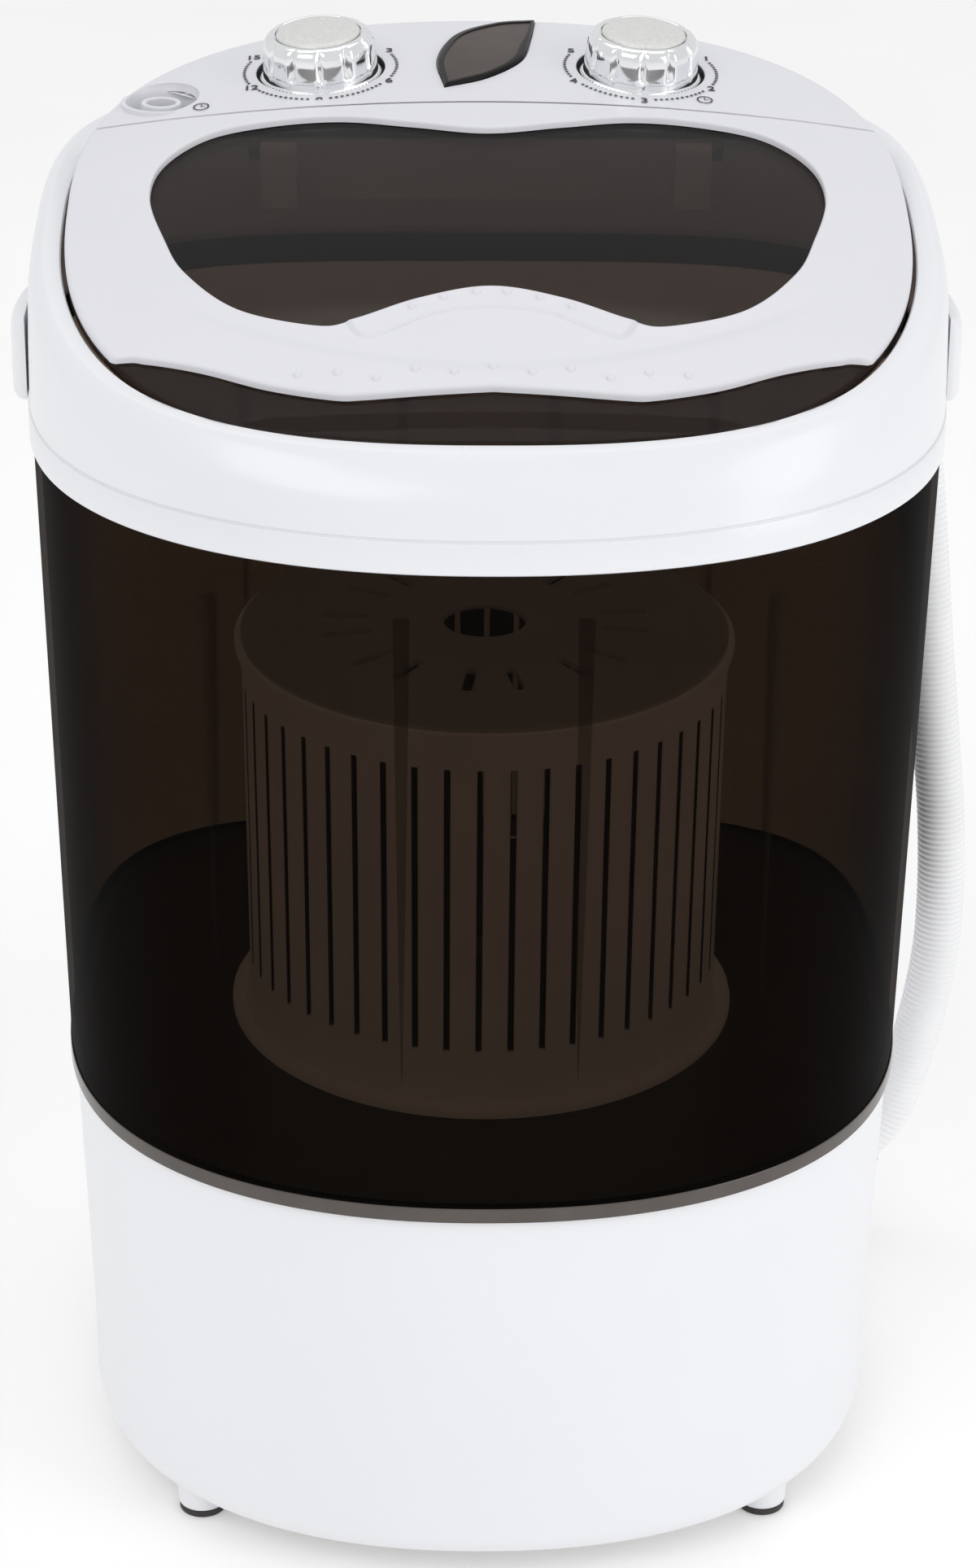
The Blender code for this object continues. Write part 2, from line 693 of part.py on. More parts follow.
def drum_drive():
    add("drive_shaft", turned([(0.0052, 0.0300), (0.0060, 0.0310), (0.0060, 0.1900)], 24), "steel")
    rim_r = DRUM_PULLEY_R + 0.0025
    groove = DRUM_PULLEY_R - 0.0025
    rim_side = [(rim_r, PULLEY_LOW), (rim_r, 0.0388), (groove, 0.0396), (groove, 0.0464), (rim_r, 0.0472)]
    hub = [(rim_r, PULLEY_HIGH), (0.0460, PULLEY_HIGH), (0.0440, 0.0450), (0.0160, 0.0450)]
    hub += [(0.0140, PULLEY_HIGH), (0.0063, PULLEY_HIGH), (0.0063, PULLEY_LOW), (0.0140, PULLEY_LOW)]
    hub += [(0.0160, 0.0410), (0.0440, 0.0410), (0.0460, PULLEY_LOW)]
    add("drive_pulley", turned(rim_side + hub, 32, True), "cast")
    nut = [(0.0105, 0.0305), (0.0105, PULLEY_LOW - GAP), (0.0076, PULLEY_LOW - GAP), (0.0076, 0.0305)]
    add("pulley_nut", turned(nut, 6, True), "steel")


def pulsator():
    """The wash disc: a shallow dome with a central hub and four swept fins."""
    profile = [(0.0740, 0.1812), (0.0752, 0.1830), (0.0700, 0.1856), (0.0300, 0.1876), (0.0200, 0.1955)]
    profile += [(0.0034, 0.1955), (0.0034, 0.1908), (0.0063, 0.1903), (0.0063, 0.1812)]
    disc = add("pulsator", turned(profile, 40, True), "white")
    for i in range(4):
        turn = Matrix.Rotation(i * math.pi / 2, 4, "Z")
        fin = across([(0.0150, 0.1850), (0.0680, 0.1840), (0.0640, 0.1900), (0.0200, 0.1940)], -0.0030, 0.0030)
        join(disc, fin, turn)
    screw = [(0.0030, 0.1912), (0.0030, 0.2012), (0.0060, 0.2012), (0.0054, 0.2040)]
    add("pulsator_screw", turned(screw, 18), "steel")


BASKET_TURN = math.radians(2.0)
SLOT_COUNT = 48


def basket_angles():
    """Angles round the basket: two edges of each slot, and the middle of each of the eight grooves."""
    made = []
    step = 2 * math.pi / SLOT_COUNT
    half = 0.0125 / 0.097 * 0.1
    for i in range(SLOT_COUNT):
        middle = BASKET_TURN + (i + 0.5) * step
        if i % 6 == 0:
            made.append((middle - 0.5 * step, "groove"))
        made.append((middle - half, "slot"))
        made.append((middle + half, "end"))
    return made


def basket_ring(radius, z, groove):
    ring = []
    for angle, kind in basket_angles():
        r = radius - (groove if kind == "groove" else 0.0)
        ring.append((r * math.cos(angle), r * math.sin(angle), z))
    return ring


def basket():
    """The spin basket: a slotted wall with eight grooves, a rim, a floor with a hub hole and a foot flange."""
    outer = [(0.1035, 0.1800, 0), (0.1035, 0.1832, 0), (0.0962, 0.1960, 0.001), (0.0967, 0.2058, 0.0012)]
    outer += [(0.0978, 0.3294, 0.0012), (0.0979, 0.3395, 0), (0.1000, 0.3420, 0), (0.1000, 0.3450, 0)]
    inner = [(0.0945, 0.3450, 0), (0.0957, 0.3294, 0), (0.0946, 0.2058, 0), (0.0938, 0.2005, 0)]
    inner += [(0.0063, 0.2005, 0), (0.0063, 0.1978, 0), (0.0925, 0.1978, 0), (0.1005, 0.1800, 0)]
    points, faces = loft([basket_ring(*ring) for ring in outer + inner], True)
    kinds = [kind for _, kind in basket_angles()]
    count = len(kinds)
    low = 3
    far = 9
    kept = [f for f in faces if not slot_face(f, kinds, count, (low, far))]
    for j in range(count):
        if kinds[j] != "slot":
            continue
        k = (j + 1) % count
        a, b = low * count, (low + 1) * count
        c, d = far * count, (far + 1) * count
        kept.append((a + j, a + k, d + k, d + j))
        kept.append((b + j, b + k, c + k, c + j))
        kept.append((a + j, b + j, c + j, d + j))
        kept.append((a + k, b + k, c + k, d + k))
    add("basket", (points, kept), "basket")


def slot_face(face, kinds, count, rows):
    """Whether this face of the basket's wall is where a slot goes."""
    row, column = divmod(face[0], count)
    return row in rows and kinds[column] == "slot"


def basket_cover():
    profile = [(0.0995, 0.3453), (0.0995, 0.3468), (0.0900, 0.3480), (0.0190, 0.3500), (0.0165, 0.3500)]
    profile += [(0.0165, 0.3476), (0.0900, 0.3456), (0.0935, 0.3453)]
    cover = add("basket_cover", turned(profile, 36, True), "basket")
    for i in range(16):
        angle = BASKET_TURN + (i // 2) * math.pi / 4 + (0.16 if i % 2 else -0.16)
        turn = Matrix.Rotation(angle, 4, "Z")
        cut(cover, block((0.0460, -0.0022, 0.3400), (0.0660, 0.0022, 0.3550)), turn)


def motor_parts():
    spot = Matrix.Translation((MOTOR_X, 0.0, 0.0))
    body = [(0.0460, 0.0620), (0.0475, 0.0650), (0.0475, 0.1400), (0.0460, 0.1436), (0.0046, 0.1436)]
    body += [(0.0046, 0.0620)]
    add("motor_body", turned(body, 32, True), "steel", spot)
    add("motor_shaft", turned([(0.0042, 0.0340), (0.0042, 0.1420)], 20), "steel", spot)
    r = MOTOR_PULLEY_R
    pulley = [(r + 0.0025, PULLEY_LOW), (r + 0.0025, 0.0388), (r - 0.0025, 0.0396), (r - 0.0025, 0.0464)]
    pulley += [(r + 0.0025, 0.0472), (r + 0.0025, PULLEY_HIGH), (0.0045, PULLEY_HIGH), (0.0045, PULLEY_LOW)]
    add("motor_pulley", turned(pulley, 24, True), "cast", spot)
    hub = [(0.0100, 0.0530), (0.0100, 0.0602), (0.0045, 0.0602), (0.0045, 0.0530)]
    fan = add("motor_fan", turned(hub, 24, True), "grey", spot)
    for i in range(6):
        blade = spot @ Matrix.Rotation(i * math.pi / 3, 4, "Z")
        join(fan, block((0.0080, -0.0012, 0.0535), (0.0340, 0.0012, 0.0595)), blade)
    plate = add("motor_plate", block((-0.1480, -0.0430, 0.1440), (-0.0480, 0.0430, 0.1470)), "steel")
    cut(plate, turned([(0.0060, 0.1400), (0.0060, 0.1500)], 16), spot)
    for i, (dx, dy) in enumerate(((-0.036, -0.034), (0.036, -0.034), (-0.036, 0.034), (0.036, 0.034))):
        mount = [(0.0070, 0.1473), (0.0060, 0.1600), (0.0070, 0.1736)]
        place = Matrix.Translation((MOTOR_X + dx, dy, 0.0))
        add(f"motor_mount_{i + 1}", turned(mount, 16), "rubber", place)


def drive_belt():
    """The belt: straight runs between the pulleys, held off their grooves by a hair."""
    rings = []
    for radius_step, z in ((-0.0020, 0.0402), (0.0020, 0.0402), (0.0020, 0.0458), (-0.0020, 0.0458)):
        rings.append([(x, y, z) for x, y in belt_loop(radius_step)])
    add("drive_belt", loft(rings, True), "rubber")


def belt_loop(step):
    """The loop round both pulleys at this distance from the belt's middle."""
    lean = math.asin((DRUM_PULLEY_R - MOTOR_PULLEY_R) / abs(MOTOR_X))
    loop = []
    for angle in arc(-0.5 * math.pi - lean, 0.5 * math.pi + lean, 25):
        r = DRUM_PULLEY_R + step
        loop.append((r * math.cos(angle), r * math.sin(angle)))
    for angle in arc(0.5 * math.pi + lean, 1.5 * math.pi - lean, 11):
        r = MOTOR_PULLEY_R + step
        loop.append((MOTOR_X + r * math.cos(angle), r * math.sin(angle)))
    return loop


def capacitor():
    can = [(0.0170, 0.0169), (0.0175, 0.0180), (0.0175, 0.0740), (0.0165, 0.0755), (0.0060, 0.0760)]
    add("capacitor", turned(can, 24), "pearl", Matrix.Translation((0.0900, 0.0550, 0.0)))


def cord_gland():
    profile = [(0.0035, -0.0120), (0.0068, -0.0120), (0.0068, 0.0022), (0.0090, 0.0024), (0.0085, 0.0060)]
    profile += [(0.0060, 0.0105), (0.0035, 0.0105)]
    add("cord_gland", turned(profile, 20, True), "rubber", cord_frame())


def hose_curve(count):
    """Points read evenly from one smooth curve through the hose's route."""
    route = [Vector(p) for p in HOSE_ROUTE]
    route = [2 * route[0] - route[1]] + route + [2 * route[-1] - route[-2]]
    fine = []
    for i in range(len(route) - 3):
        fine += [spline_point(route[i : i + 4], j / 20) for j in range(20)]
    fine.append(route[-2])
    far = [0.0]
    for p, q in zip(fine, fine[1:]):
        far.append(far[-1] + (q - p).length)
    made = []
    for i in range(count):
        want = far[-1] * i / (count - 1)
        k = max(j for j in range(len(far)) if far[j] <= want + 1e-12)
        k = min(k, len(fine) - 2)
        share = (want - far[k]) / (far[k + 1] - far[k])
        made.append(fine[k].lerp(fine[k + 1], share))
    return made


def drain_hose():
    curve = bpy.data.curves.new("drain_hose", "CURVE")
    curve.dimensions = "3D"
    curve.bevel_depth = HOSE_RADIUS
    curve.bevel_resolution = 4
    curve.use_fill_caps = True
    spline = curve.splines.new("POLY")
    points = hose_curve(24)
    spline.points.add(len(points) - 1)
    for target, point in zip(spline.points, points):
        target.co = (*point, 1.0)
    spline.use_smooth = True
    hose = bpy.data.objects.new("drain_hose", curve)
    bpy.context.scene.collection.objects.link(hose)
    curve.materials.append(material("drain_hose", "hose"))


def along_hose(place, heading):
    """A frame at a point, with local Z along a heading."""
    turn = Vector(heading).normalized().to_track_quat("Z", "Y").to_matrix().to_4x4()
    return Matrix.Translation(place) @ turn


def hose_fittings():
    points = hose_curve(24)
    start = points[0]
    heading = (points[1] - points[0]).normalized()
    ring = [(0.0108, 0.0020), (0.0108, 0.0090), (0.0126, 0.0090), (0.0126, 0.0020)]
    clamp = add("hose_clamp", turned(ring, 24, True), "steel", along_hose(start, heading))
    clamp.data.materials[0].name = "hose_clamp"
    drain_elbow(start, heading)
    end = points[-1]
    away = (points[-1] - points[-2]).normalized()
    cuff = [(0.0109, -0.0140), (0.0126, -0.0140), (0.0126, 0.0090), (0.0085, 0.0150), (0.0065, 0.0150)]
    cuff += [(0.0065, 0.0004), (0.0109, 0.0004)]
    add("hose_cuff", turned(cuff, 24, True), "hose", along_hose(end, away))
    hose_hook(points[-3], (points[-2] - points[-4]).normalized())


def drain_elbow(start, heading):
    """The drain spigot: out of the base's side, then bent up towards the hose."""
    path = [Vector((0.1480, 0.1060, 0.0330)), Vector((0.1585, 0.1060, 0.0330))]
    path += [Vector((0.1632, 0.1060, 0.0345)), start - heading * 0.0016, start - heading * GAP]
    rings = []
    for i, place in enumerate(path):
        ahead = path[min(i + 1, len(path) - 1)] - path[max(i - 1, 0)]
        frame = along_hose(place, ahead)
        rings.append([tuple(frame @ Vector(p)) for p in circle(0.0082, 0.0, 20)])
    add("drain_elbow", loft(rings), "grey")


def hose_hook(place, heading):
    """The clip on the collar's rear corner: an open ring round the hose and a foot towards the collar."""
    frame = along_hose(place, heading)
    inner = [(0.0109 * math.cos(t), 0.0109 * math.sin(t)) for t in arc(-2.45, 2.45, 21)]
    outer = [(0.0129 * math.cos(t), 0.0129 * math.sin(t)) for t in arc(2.45, -2.45, 21)]
    x_axis = frame.to_3x3() @ Vector((1.0, 0.0, 0.0))
    towards = Vector((-0.62, -0.78, 0.0))
    turn = math.atan2(towards.dot(frame.to_3x3() @ Vector((0, 1, 0))), towards.dot(x_axis))
    frame = frame @ Matrix.Rotation(turn, 4, "Z")
    hook = add("hose_hook", prism(inner + outer, -0.0060, 0.0060), "white", frame)
    join(hook, block((0.0120, -0.0050, -0.0055), (0.0175, 0.0050, 0.0055)), frame)


def main():
    for obj in list(bpy.data.objects):
        bpy.data.objects.remove(obj)
    base_shell()
    base_plate()
    feet()
    tub()
    collar()
    console_panel()
    leaf_window()
    inlet_nozzle()
    timer_housing()
    for name in DIALS:
        timer(name)
        knob(name)
    lid_frame()
    lid_panel()
    hinge_pins()
    handles()
    bearing_parts()
    drum_drive()
    pulsator()
    basket()
    basket_cover()
    motor_parts()
    drive_belt()
    capacitor()
    cord_gland()
    drain_hose()
    hose_fittings()


main()
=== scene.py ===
"""Portable mini washer: the finished look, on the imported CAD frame."""

import math

import bmesh
import bpy
import numpy as np
from mathutils import Matrix, Vector


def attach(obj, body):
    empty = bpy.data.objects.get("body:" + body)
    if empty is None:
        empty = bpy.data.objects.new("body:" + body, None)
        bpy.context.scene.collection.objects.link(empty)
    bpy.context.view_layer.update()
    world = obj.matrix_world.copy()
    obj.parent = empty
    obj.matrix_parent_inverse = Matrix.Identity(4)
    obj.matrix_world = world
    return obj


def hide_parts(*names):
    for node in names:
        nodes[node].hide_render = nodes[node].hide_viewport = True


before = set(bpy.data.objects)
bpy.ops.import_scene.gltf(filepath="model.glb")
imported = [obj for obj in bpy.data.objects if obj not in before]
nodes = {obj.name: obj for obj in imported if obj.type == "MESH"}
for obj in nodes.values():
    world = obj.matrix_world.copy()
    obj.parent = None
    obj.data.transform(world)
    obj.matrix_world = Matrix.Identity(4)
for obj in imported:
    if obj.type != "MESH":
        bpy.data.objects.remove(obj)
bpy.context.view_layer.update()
scene = bpy.context.scene

# Sizes in metres, as in the CAD. The front faces -Y. FRONT and REAR are the powers of the rounded plan.
RING_POINTS = 192
FRONT = (2.178, 2.535)
REAR = (4.0, 4.0)
BASE_BOTTOM, BASE_TOP, TUB_BOTTOM, FLOOR_TOP = 0.014, 0.1734, 0.1737, 0.1768
TUB_SHOULDER, TUB_TOP, COLLAR_STEP = 0.4419, 0.4545, 0.4557
DOME_TOP, DOME_REAR_Y, DOME_SLOPE, DOME_CURVE, DOME_SIDE = 0.5529, 0.15, 0.0442, 0.628, 2.2
HALF_WIDTH, HALF_DEPTH, POWER = 0.16, 0.1508, 2.58
SEAM_Y, SEAM_BEND = 0.0626, 0.1
HINGE_Y, HINGE_Z, HINGE_X = 0.048, 0.528, 0.081
DIALS = {"wash": (-0.0655, 0.0985), "spin": (0.0625, 0.0985)}
INLET = (-0.1284, 0.0813)


# ---- camera, light and floor
CAMERA_PLACE = (-0.03006, -1.47311, 0.98815)
CAMERA_PITCH, CAMERA_YAW, CAMERA_ROLL = 0.44962, 0.02172, 0.00931
CAMERA_LENS, CAMERA_SENSOR = 92.31, 36.0
WORLD_COLOR, WORLD_STRENGTH = (0.98, 0.99, 1.0, 1.0), 0.78
LAMPS = (
    ("key", (-0.9, -1.3, 1.9), (0, 0, 0.3), (1.2, 1.0), 7.0),
    ("fill", (1.5, -0.9, 1.0), (0, 0, 0.3), (0.8, 1.4), 6.0),
    ("top", (0.0, 0.5, 2.0), (0, 0, 0.4), (1.6, 0.8), 3.0),
)
FLOOR_REACH = 9.0


def make_camera():
    """The photograph's viewing angle, from its place, pitch, yaw and roll."""
    pitch, yaw, roll = CAMERA_PITCH, CAMERA_YAW, CAMERA_ROLL
    ahead = Vector((math.sin(yaw) * math.cos(pitch), math.cos(yaw) * math.cos(pitch), -math.sin(pitch)))
    right = Vector((math.cos(yaw), -math.sin(yaw), 0.0))
    up = right.cross(ahead)
    c, s = math.cos(roll), math.sin(roll)
    right, up = c * right + s * up, -s * right + c * up
    data = bpy.data.cameras.new("camera")
    data.lens = CAMERA_LENS
    data.sensor_width = CAMERA_SENSOR
    data.clip_start = 0.05
    camera = bpy.data.objects.new("camera", data)
    scene.collection.objects.link(camera)
    turn = Matrix((right, up, -ahead)).transposed().to_4x4()
    camera.matrix_world = Matrix.Translation(CAMERA_PLACE) @ turn
    scene.camera = camera


def soft_lamp(name, place, aim, size, power):
    data = bpy.data.lights.new(name, "AREA")
    data.shape = "RECTANGLE"
    data.size, data.size_y = size
    data.energy = power
    lamp = bpy.data.objects.new(name, data)
    scene.collection.objects.link(lamp)
    turn = (Vector(aim) - Vector(place)).to_track_quat("-Z", "Y").to_matrix().to_4x4()
    lamp.matrix_world = Matrix.Translation(place) @ turn


def make_stage():
    """Even studio light from all round, three soft lamps, and a plain pale floor."""
    world = bpy.data.worlds.new("studio")
    scene.world = world
    world.use_nodes = True
    background = world.node_tree.nodes["Background"]
    background.inputs["Color"].default_value = WORLD_COLOR
    background.inputs["Strength"].default_value = WORLD_STRENGTH
    for lamp in LAMPS:
        soft_lamp(*lamp)
    signs = ((-1, -1), (1, -1), (1, 1), (-1, 1))
    floor = mesh_object("floor", [(FLOOR_REACH * x, FLOOR_REACH * y, 0) for x, y in signs], [(0, 1, 2, 3)])
    paper = plastic("floor_paper", (0.93, 0.93, 0.935), (0.91, 0.91, 0.915), (0.75, 0.85), 3.0, glow=0.16)
    floor.data.materials.append(paper)


# ---- materials
CLEAR_REFLECTION = 0.035


def tree(name):
    """A new node material, with its nodes and links."""
    made = bpy.data.materials.new(name)
    made.use_nodes = True
    nodes_ = made.node_tree.nodes
    return made, nodes_, made.node_tree.links


def noise(nodes_, links, scale, detail=3.0):
    """Noise fixed to the object."""
    where = nodes_.new("ShaderNodeTexCoord")
    made = nodes_.new("ShaderNodeTexNoise")
    made.inputs["Scale"].default_value = scale
    made.inputs["Detail"].default_value = detail
    links.new(where.outputs["Object"], made.inputs["Vector"])
    return made.outputs["Fac"]


def spread(nodes_, links, value, low, high):
    """A number from noise, mapped to a range."""
    made = nodes_.new("ShaderNodeMapRange")
    made.inputs["From Min"].default_value = 0.3
    made.inputs["From Max"].default_value = 0.7
    made.inputs["To Min"].default_value = low
    made.inputs["To Max"].default_value = high
    links.new(value, made.inputs["Value"])
    return made.outputs["Result"]


def tones(nodes_, links, value, first, second):
    """A colour between two tones, chosen by noise."""
    made = nodes_.new("ShaderNodeValToRGB")
    made.color_ramp.elements[0].position = 0.35
    made.color_ramp.elements[1].position = 0.65
    made.color_ramp.elements[0].color = (*first, 1.0)
    made.color_ramp.elements[1].color = (*second, 1.0)
    links.new(value, made.inputs["Fac"])
    return made.outputs["Color"]


def plastic(
    name, first, second, rough, scale, metallic=0.0, grain=0.0, grain_scale=900.0, coat=0.0, glow=0.0,
    specular=0.5,
):
    """Moulded plastic, rubber or metal: two close tones, uneven gloss and a fine surface grain."""
    made, nodes_, links = tree(name)
    shader = nodes_["Principled BSDF"]
    shader.inputs["Metallic"].default_value = metallic
    shader.inputs["Coat Weight"].default_value = coat
    shader.inputs["Coat Roughness"].default_value = 0.08
    shader.inputs["Specular IOR Level"].default_value = specular
    # Glow is an even emission. On the floor it keeps the backdrop evenly bright; on the basket and its cover
    # it is painted light that stands in for light reaching them through the dark tub.
    if glow:
        shader.inputs["Emission Color"].default_value = (1.0, 0.96, 0.9, 1.0)
        shader.inputs["Emission Strength"].default_value = glow
    broad = noise(nodes_, links, scale)
    links.new(tones(nodes_, links, broad, first, second), shader.inputs["Base Color"])
    links.new(spread(nodes_, links, broad, *rough), shader.inputs["Roughness"])
    if grain:
        bump = nodes_.new("ShaderNodeBump")
        bump.inputs["Strength"].default_value = grain
        bump.inputs["Distance"].default_value = 0.0002
        links.new(noise(nodes_, links, grain_scale, 2.0), bump.inputs["Height"])
        links.new(bump.outputs["Normal"], shader.inputs["Normal"])
    return made


def grazing(nodes_, links):
    """How much a clear surface reflects: little head on and much at a low angle, from either side."""
    facing = nodes_.new("ShaderNodeLayerWeight")
    facing.inputs["Blend"].default_value = 0.5
    power = nodes_.new("ShaderNodeMath")
    power.operation = "POWER"
    power.inputs[1].default_value = 5.0
    links.new(facing.outputs["Facing"], power.inputs[0])
    share = nodes_.new("ShaderNodeMapRange")
    share.inputs["To Min"].default_value = CLEAR_REFLECTION
    links.new(power.outputs[0], share.inputs["Value"])
    return share.outputs["Result"]


def smoked(name, first, second, haze, shine, haze_color=(0.02, 0.015, 0.012)):
    """Clear smoked plastic: what is behind shows through a brown tint, under a clear gloss."""
    made, nodes_, links = tree(name)
    nodes_.remove(nodes_["Principled BSDF"])
    clear = nodes_.new("ShaderNodeBsdfTransparent")
    links.new(tones(nodes_, links, noise(nodes_, links, 9.0), first, second), clear.inputs["Color"])
    veil = nodes_.new("ShaderNodeBsdfDiffuse")
    veil.inputs["Color"].default_value = (*haze_color, 1.0)
    body = nodes_.new("ShaderNodeMixShader")
    body.inputs["Fac"].default_value = haze
    links.new(clear.outputs[0], body.inputs[1])
    links.new(veil.outputs[0], body.inputs[2])
    gloss = nodes_.new("ShaderNodeBsdfGlossy")
    gloss.inputs["Color"].default_value = (shine, shine, shine, 1.0)
    links.new(spread(nodes_, links, noise(nodes_, links, 25.0), 0.05, 0.1), gloss.inputs["Roughness"])
    skin = nodes_.new("ShaderNodeMixShader")
    links.new(grazing(nodes_, links), skin.inputs["Fac"])
    links.new(body.outputs[0], skin.inputs[1])
    links.new(gloss.outputs[0], skin.inputs[2])
    links.new(skin.outputs[0], nodes_["Material Output"].inputs["Surface"])
    return made


def make_materials():
    """Every finish. A clear plastic takes two tints, a haze and a gloss."""
    return {
        "base": plastic(
            "base_white", (0.835, 0.838, 0.862), (0.85, 0.853, 0.877), (0.3, 0.38), 6.0, grain=0.05,
        ),
        "white": plastic(
            "shell_white", (0.8, 0.803, 0.83), (0.815, 0.818, 0.845), (0.22, 0.3), 8.0, grain=0.03, coat=0.15,
        ),
        "top": plastic(
            "top_white", (0.725, 0.722, 0.757), (0.74, 0.737, 0.772), (0.34, 0.42), 9.0, grain=0.08,
            grain_scale=1400.0,
        ),
        "tub": smoked("tub_smoke", (0.355, 0.305, 0.268), (0.375, 0.325, 0.286), 0.004, 0.06),
        "panel": smoked("panel_smoke", (0.5, 0.455, 0.435), (0.52, 0.475, 0.455), 0.03, 0.5),
        "front": smoked("panel_front_smoke", (0.34, 0.29, 0.265), (0.36, 0.31, 0.285), 0.03, 0.32),
        "rib": smoked("rib_smoke", (0.8, 0.77, 0.74), (0.84, 0.81, 0.78), 0.05, 0.5, (0.1, 0.08, 0.07)),
        "leaf": plastic(
            "leaf_brown", (0.05, 0.036, 0.03), (0.066, 0.048, 0.041), (0.2, 0.3), 60.0, specular=0.15,
        ),
        "rim": plastic(
            "leaf_rim", (0.005, 0.0045, 0.0045), (0.009, 0.008, 0.008), (0.22, 0.32), 60.0, specular=0.12,
        ),
        # Painted shade: a dark grey for the faces deep in each dial well, standing in for the shade under the
        # knob.
        "shadow": plastic(
            "well_floor_painted_shade", (0.045, 0.048, 0.05), (0.07, 0.073, 0.075), (0.5, 0.65), 60.0, grain=0.1,
        ),
        "lip": plastic("lip_brown", (0.072, 0.06, 0.052), (0.088, 0.074, 0.064), (0.15, 0.22), 40.0),
        # Painted light: the basket's faint glow brightens it as if more light reached it through the dark
        # tub.
        "basket": plastic(
            "basket_cream_painted_light", (0.8, 0.77, 0.72), (0.84, 0.81, 0.76), (0.3, 0.42), 25.0, grain=0.05, coat=0.5,
            glow=0.14,
        ),
        # Painted shade: a dark cream for the basket's inside, its slot sides and the washing disc, standing
        # in for the shade there.
        "painted_shade": plastic(
            "basket_painted_shade", (0.13, 0.115, 0.1), (0.17, 0.15, 0.13), (0.5, 0.65), 25.0, grain=0.05,
        ),
        # Painted light: a fainter glow on the cover, standing in for light that reaches it through the tub.
        "cover": plastic(
            "cover_cream_painted_light", (0.6, 0.57, 0.52), (0.66, 0.63, 0.58), (0.32, 0.45), 25.0, grain=0.05, coat=0.3,
            glow=0.05,
        ),
        "chrome": plastic(
            "knob_chrome", (0.86, 0.87, 0.88), (0.92, 0.92, 0.93), (0.05, 0.11), 90.0, metallic=1.0,
        ),
        "pearl": plastic(
            "cap_pearl", (0.66, 0.66, 0.635), (0.74, 0.74, 0.71), (0.32, 0.45), 700.0, metallic=0.25,
            grain=0.35, grain_scale=2600.0,
        ),
        "rubber": plastic(
            "foot_rubber", (0.025, 0.022, 0.022), (0.045, 0.038, 0.036), (0.55, 0.75), 60.0, grain=0.3,
        ),
        "steel": plastic(
            "bare_steel", (0.52, 0.53, 0.54), (0.64, 0.65, 0.66), (0.25, 0.4), 120.0, metallic=1.0, grain=0.1,
        ),
        "cast": plastic(
            "cast_alloy", (0.36, 0.37, 0.38), (0.46, 0.47, 0.48), (0.45, 0.6), 150.0, metallic=0.9, grain=0.4,
        ),
        "sheet": plastic(
            "pressed_sheet", (0.4, 0.41, 0.42), (0.47, 0.48, 0.49), (0.35, 0.5), 80.0, metallic=0.7,
            grain=0.15,
        ),
        "grey": plastic("inner_grey", (0.26, 0.27, 0.28), (0.32, 0.33, 0.34), (0.5, 0.62), 50.0, grain=0.2),
        "housing": plastic(
            "housing_grey", (0.62, 0.61, 0.6), (0.66, 0.65, 0.64), (0.5, 0.62), 40.0, grain=0.1,
        ),
        "hose": plastic("hose_white", (0.9, 0.9, 0.905), (0.93, 0.93, 0.935), (0.38, 0.5), 30.0, grain=0.05),
        "ink": plastic("print_black", (0.015, 0.015, 0.017), (0.03, 0.03, 0.032), (0.4, 0.5), 200.0),
        "brass": plastic(
            "shaft_brass", (0.62, 0.47, 0.23), (0.74, 0.57, 0.3), (0.25, 0.35), 100.0, metallic=1.0,
        ),
    }


# ---- mesh helpers
SHARP_ANGLE = 32.0


def mesh_object(name, points, faces, sharp=SHARP_ANGLE):
    """A smooth mesh with outward faces, creased where it turns by more than sharp degrees."""
    mesh = bpy.data.meshes.new(name)
    mesh.from_pydata([tuple(map(float, p)) for p in points], [], faces)
    work = bmesh.new()
    work.from_mesh(mesh)
    bmesh.ops.recalc_face_normals(work, faces=work.faces)
    work.to_mesh(mesh)
    work.free()
    mesh.shade_smooth()
    mesh.set_sharp_from_angle(angle=math.radians(sharp))
    obj = bpy.data.objects.new(name, mesh)
    scene.collection.objects.link(obj)
    return obj


def loft(rings, wrap=False):
    """A skin over rings of equal size, closed by caps or wrapped round to the first ring."""
    count = len(rings[0])
    points = [p for ring in rings for p in ring]
    faces = []
    for i in range(len(rings) if wrap else len(rings) - 1):
        low, high = i * count, (i + 1) % len(rings) * count
        for j in range(count):
            k = (j + 1) % count
            faces.append((low + j, low + k, high + k, high + j))
    if not wrap:
        faces.append(tuple(range(count)))
        faces.append(tuple(range(len(points) - count, len(points))))
    return points, faces


def piece(name, shape, kind, body, cad=(), sharp=SHARP_ANGLE, at=None):
    """One finished piece: its mesh, material and body, and the CAD nodes that it stands for."""
    obj = mesh_object(name, *shape, sharp=sharp)
    if at is not None:
        obj.data.transform(at)
    obj.data.materials.append(M[kind])
    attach(obj, body)
    if cad:
        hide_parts(*([cad] if isinstance(cad, str) else cad))
    return obj


def solid(shape, at=None):
    """A helper for combine, which uses it up."""
    obj = mesh_object("scratch", *shape)
    if at is not None:
        obj.data.transform(at)
    return obj


def combine(obj, other, operation="DIFFERENCE"):
    """Cuts other from obj, or joins it on, in the mesh itself."""
    modifier = obj.modifiers.new("combine", "BOOLEAN")
    modifier.operation = operation
    modifier.solver = "EXACT"
    modifier.object = other
    bpy.context.view_layer.update()
    mesh = bpy.data.meshes.new_from_object(obj.evaluated_get(bpy.context.evaluated_depsgraph_get()))
    obj.modifiers.clear()
    obj.data = mesh
    bpy.data.objects.remove(other)
    mesh.shade_smooth()
    mesh.set_sharp_from_angle(angle=math.radians(SHARP_ANGLE))


def even_angles(count, shift=0.0):
    return 2 * math.pi * (np.arange(count) + shift) / count


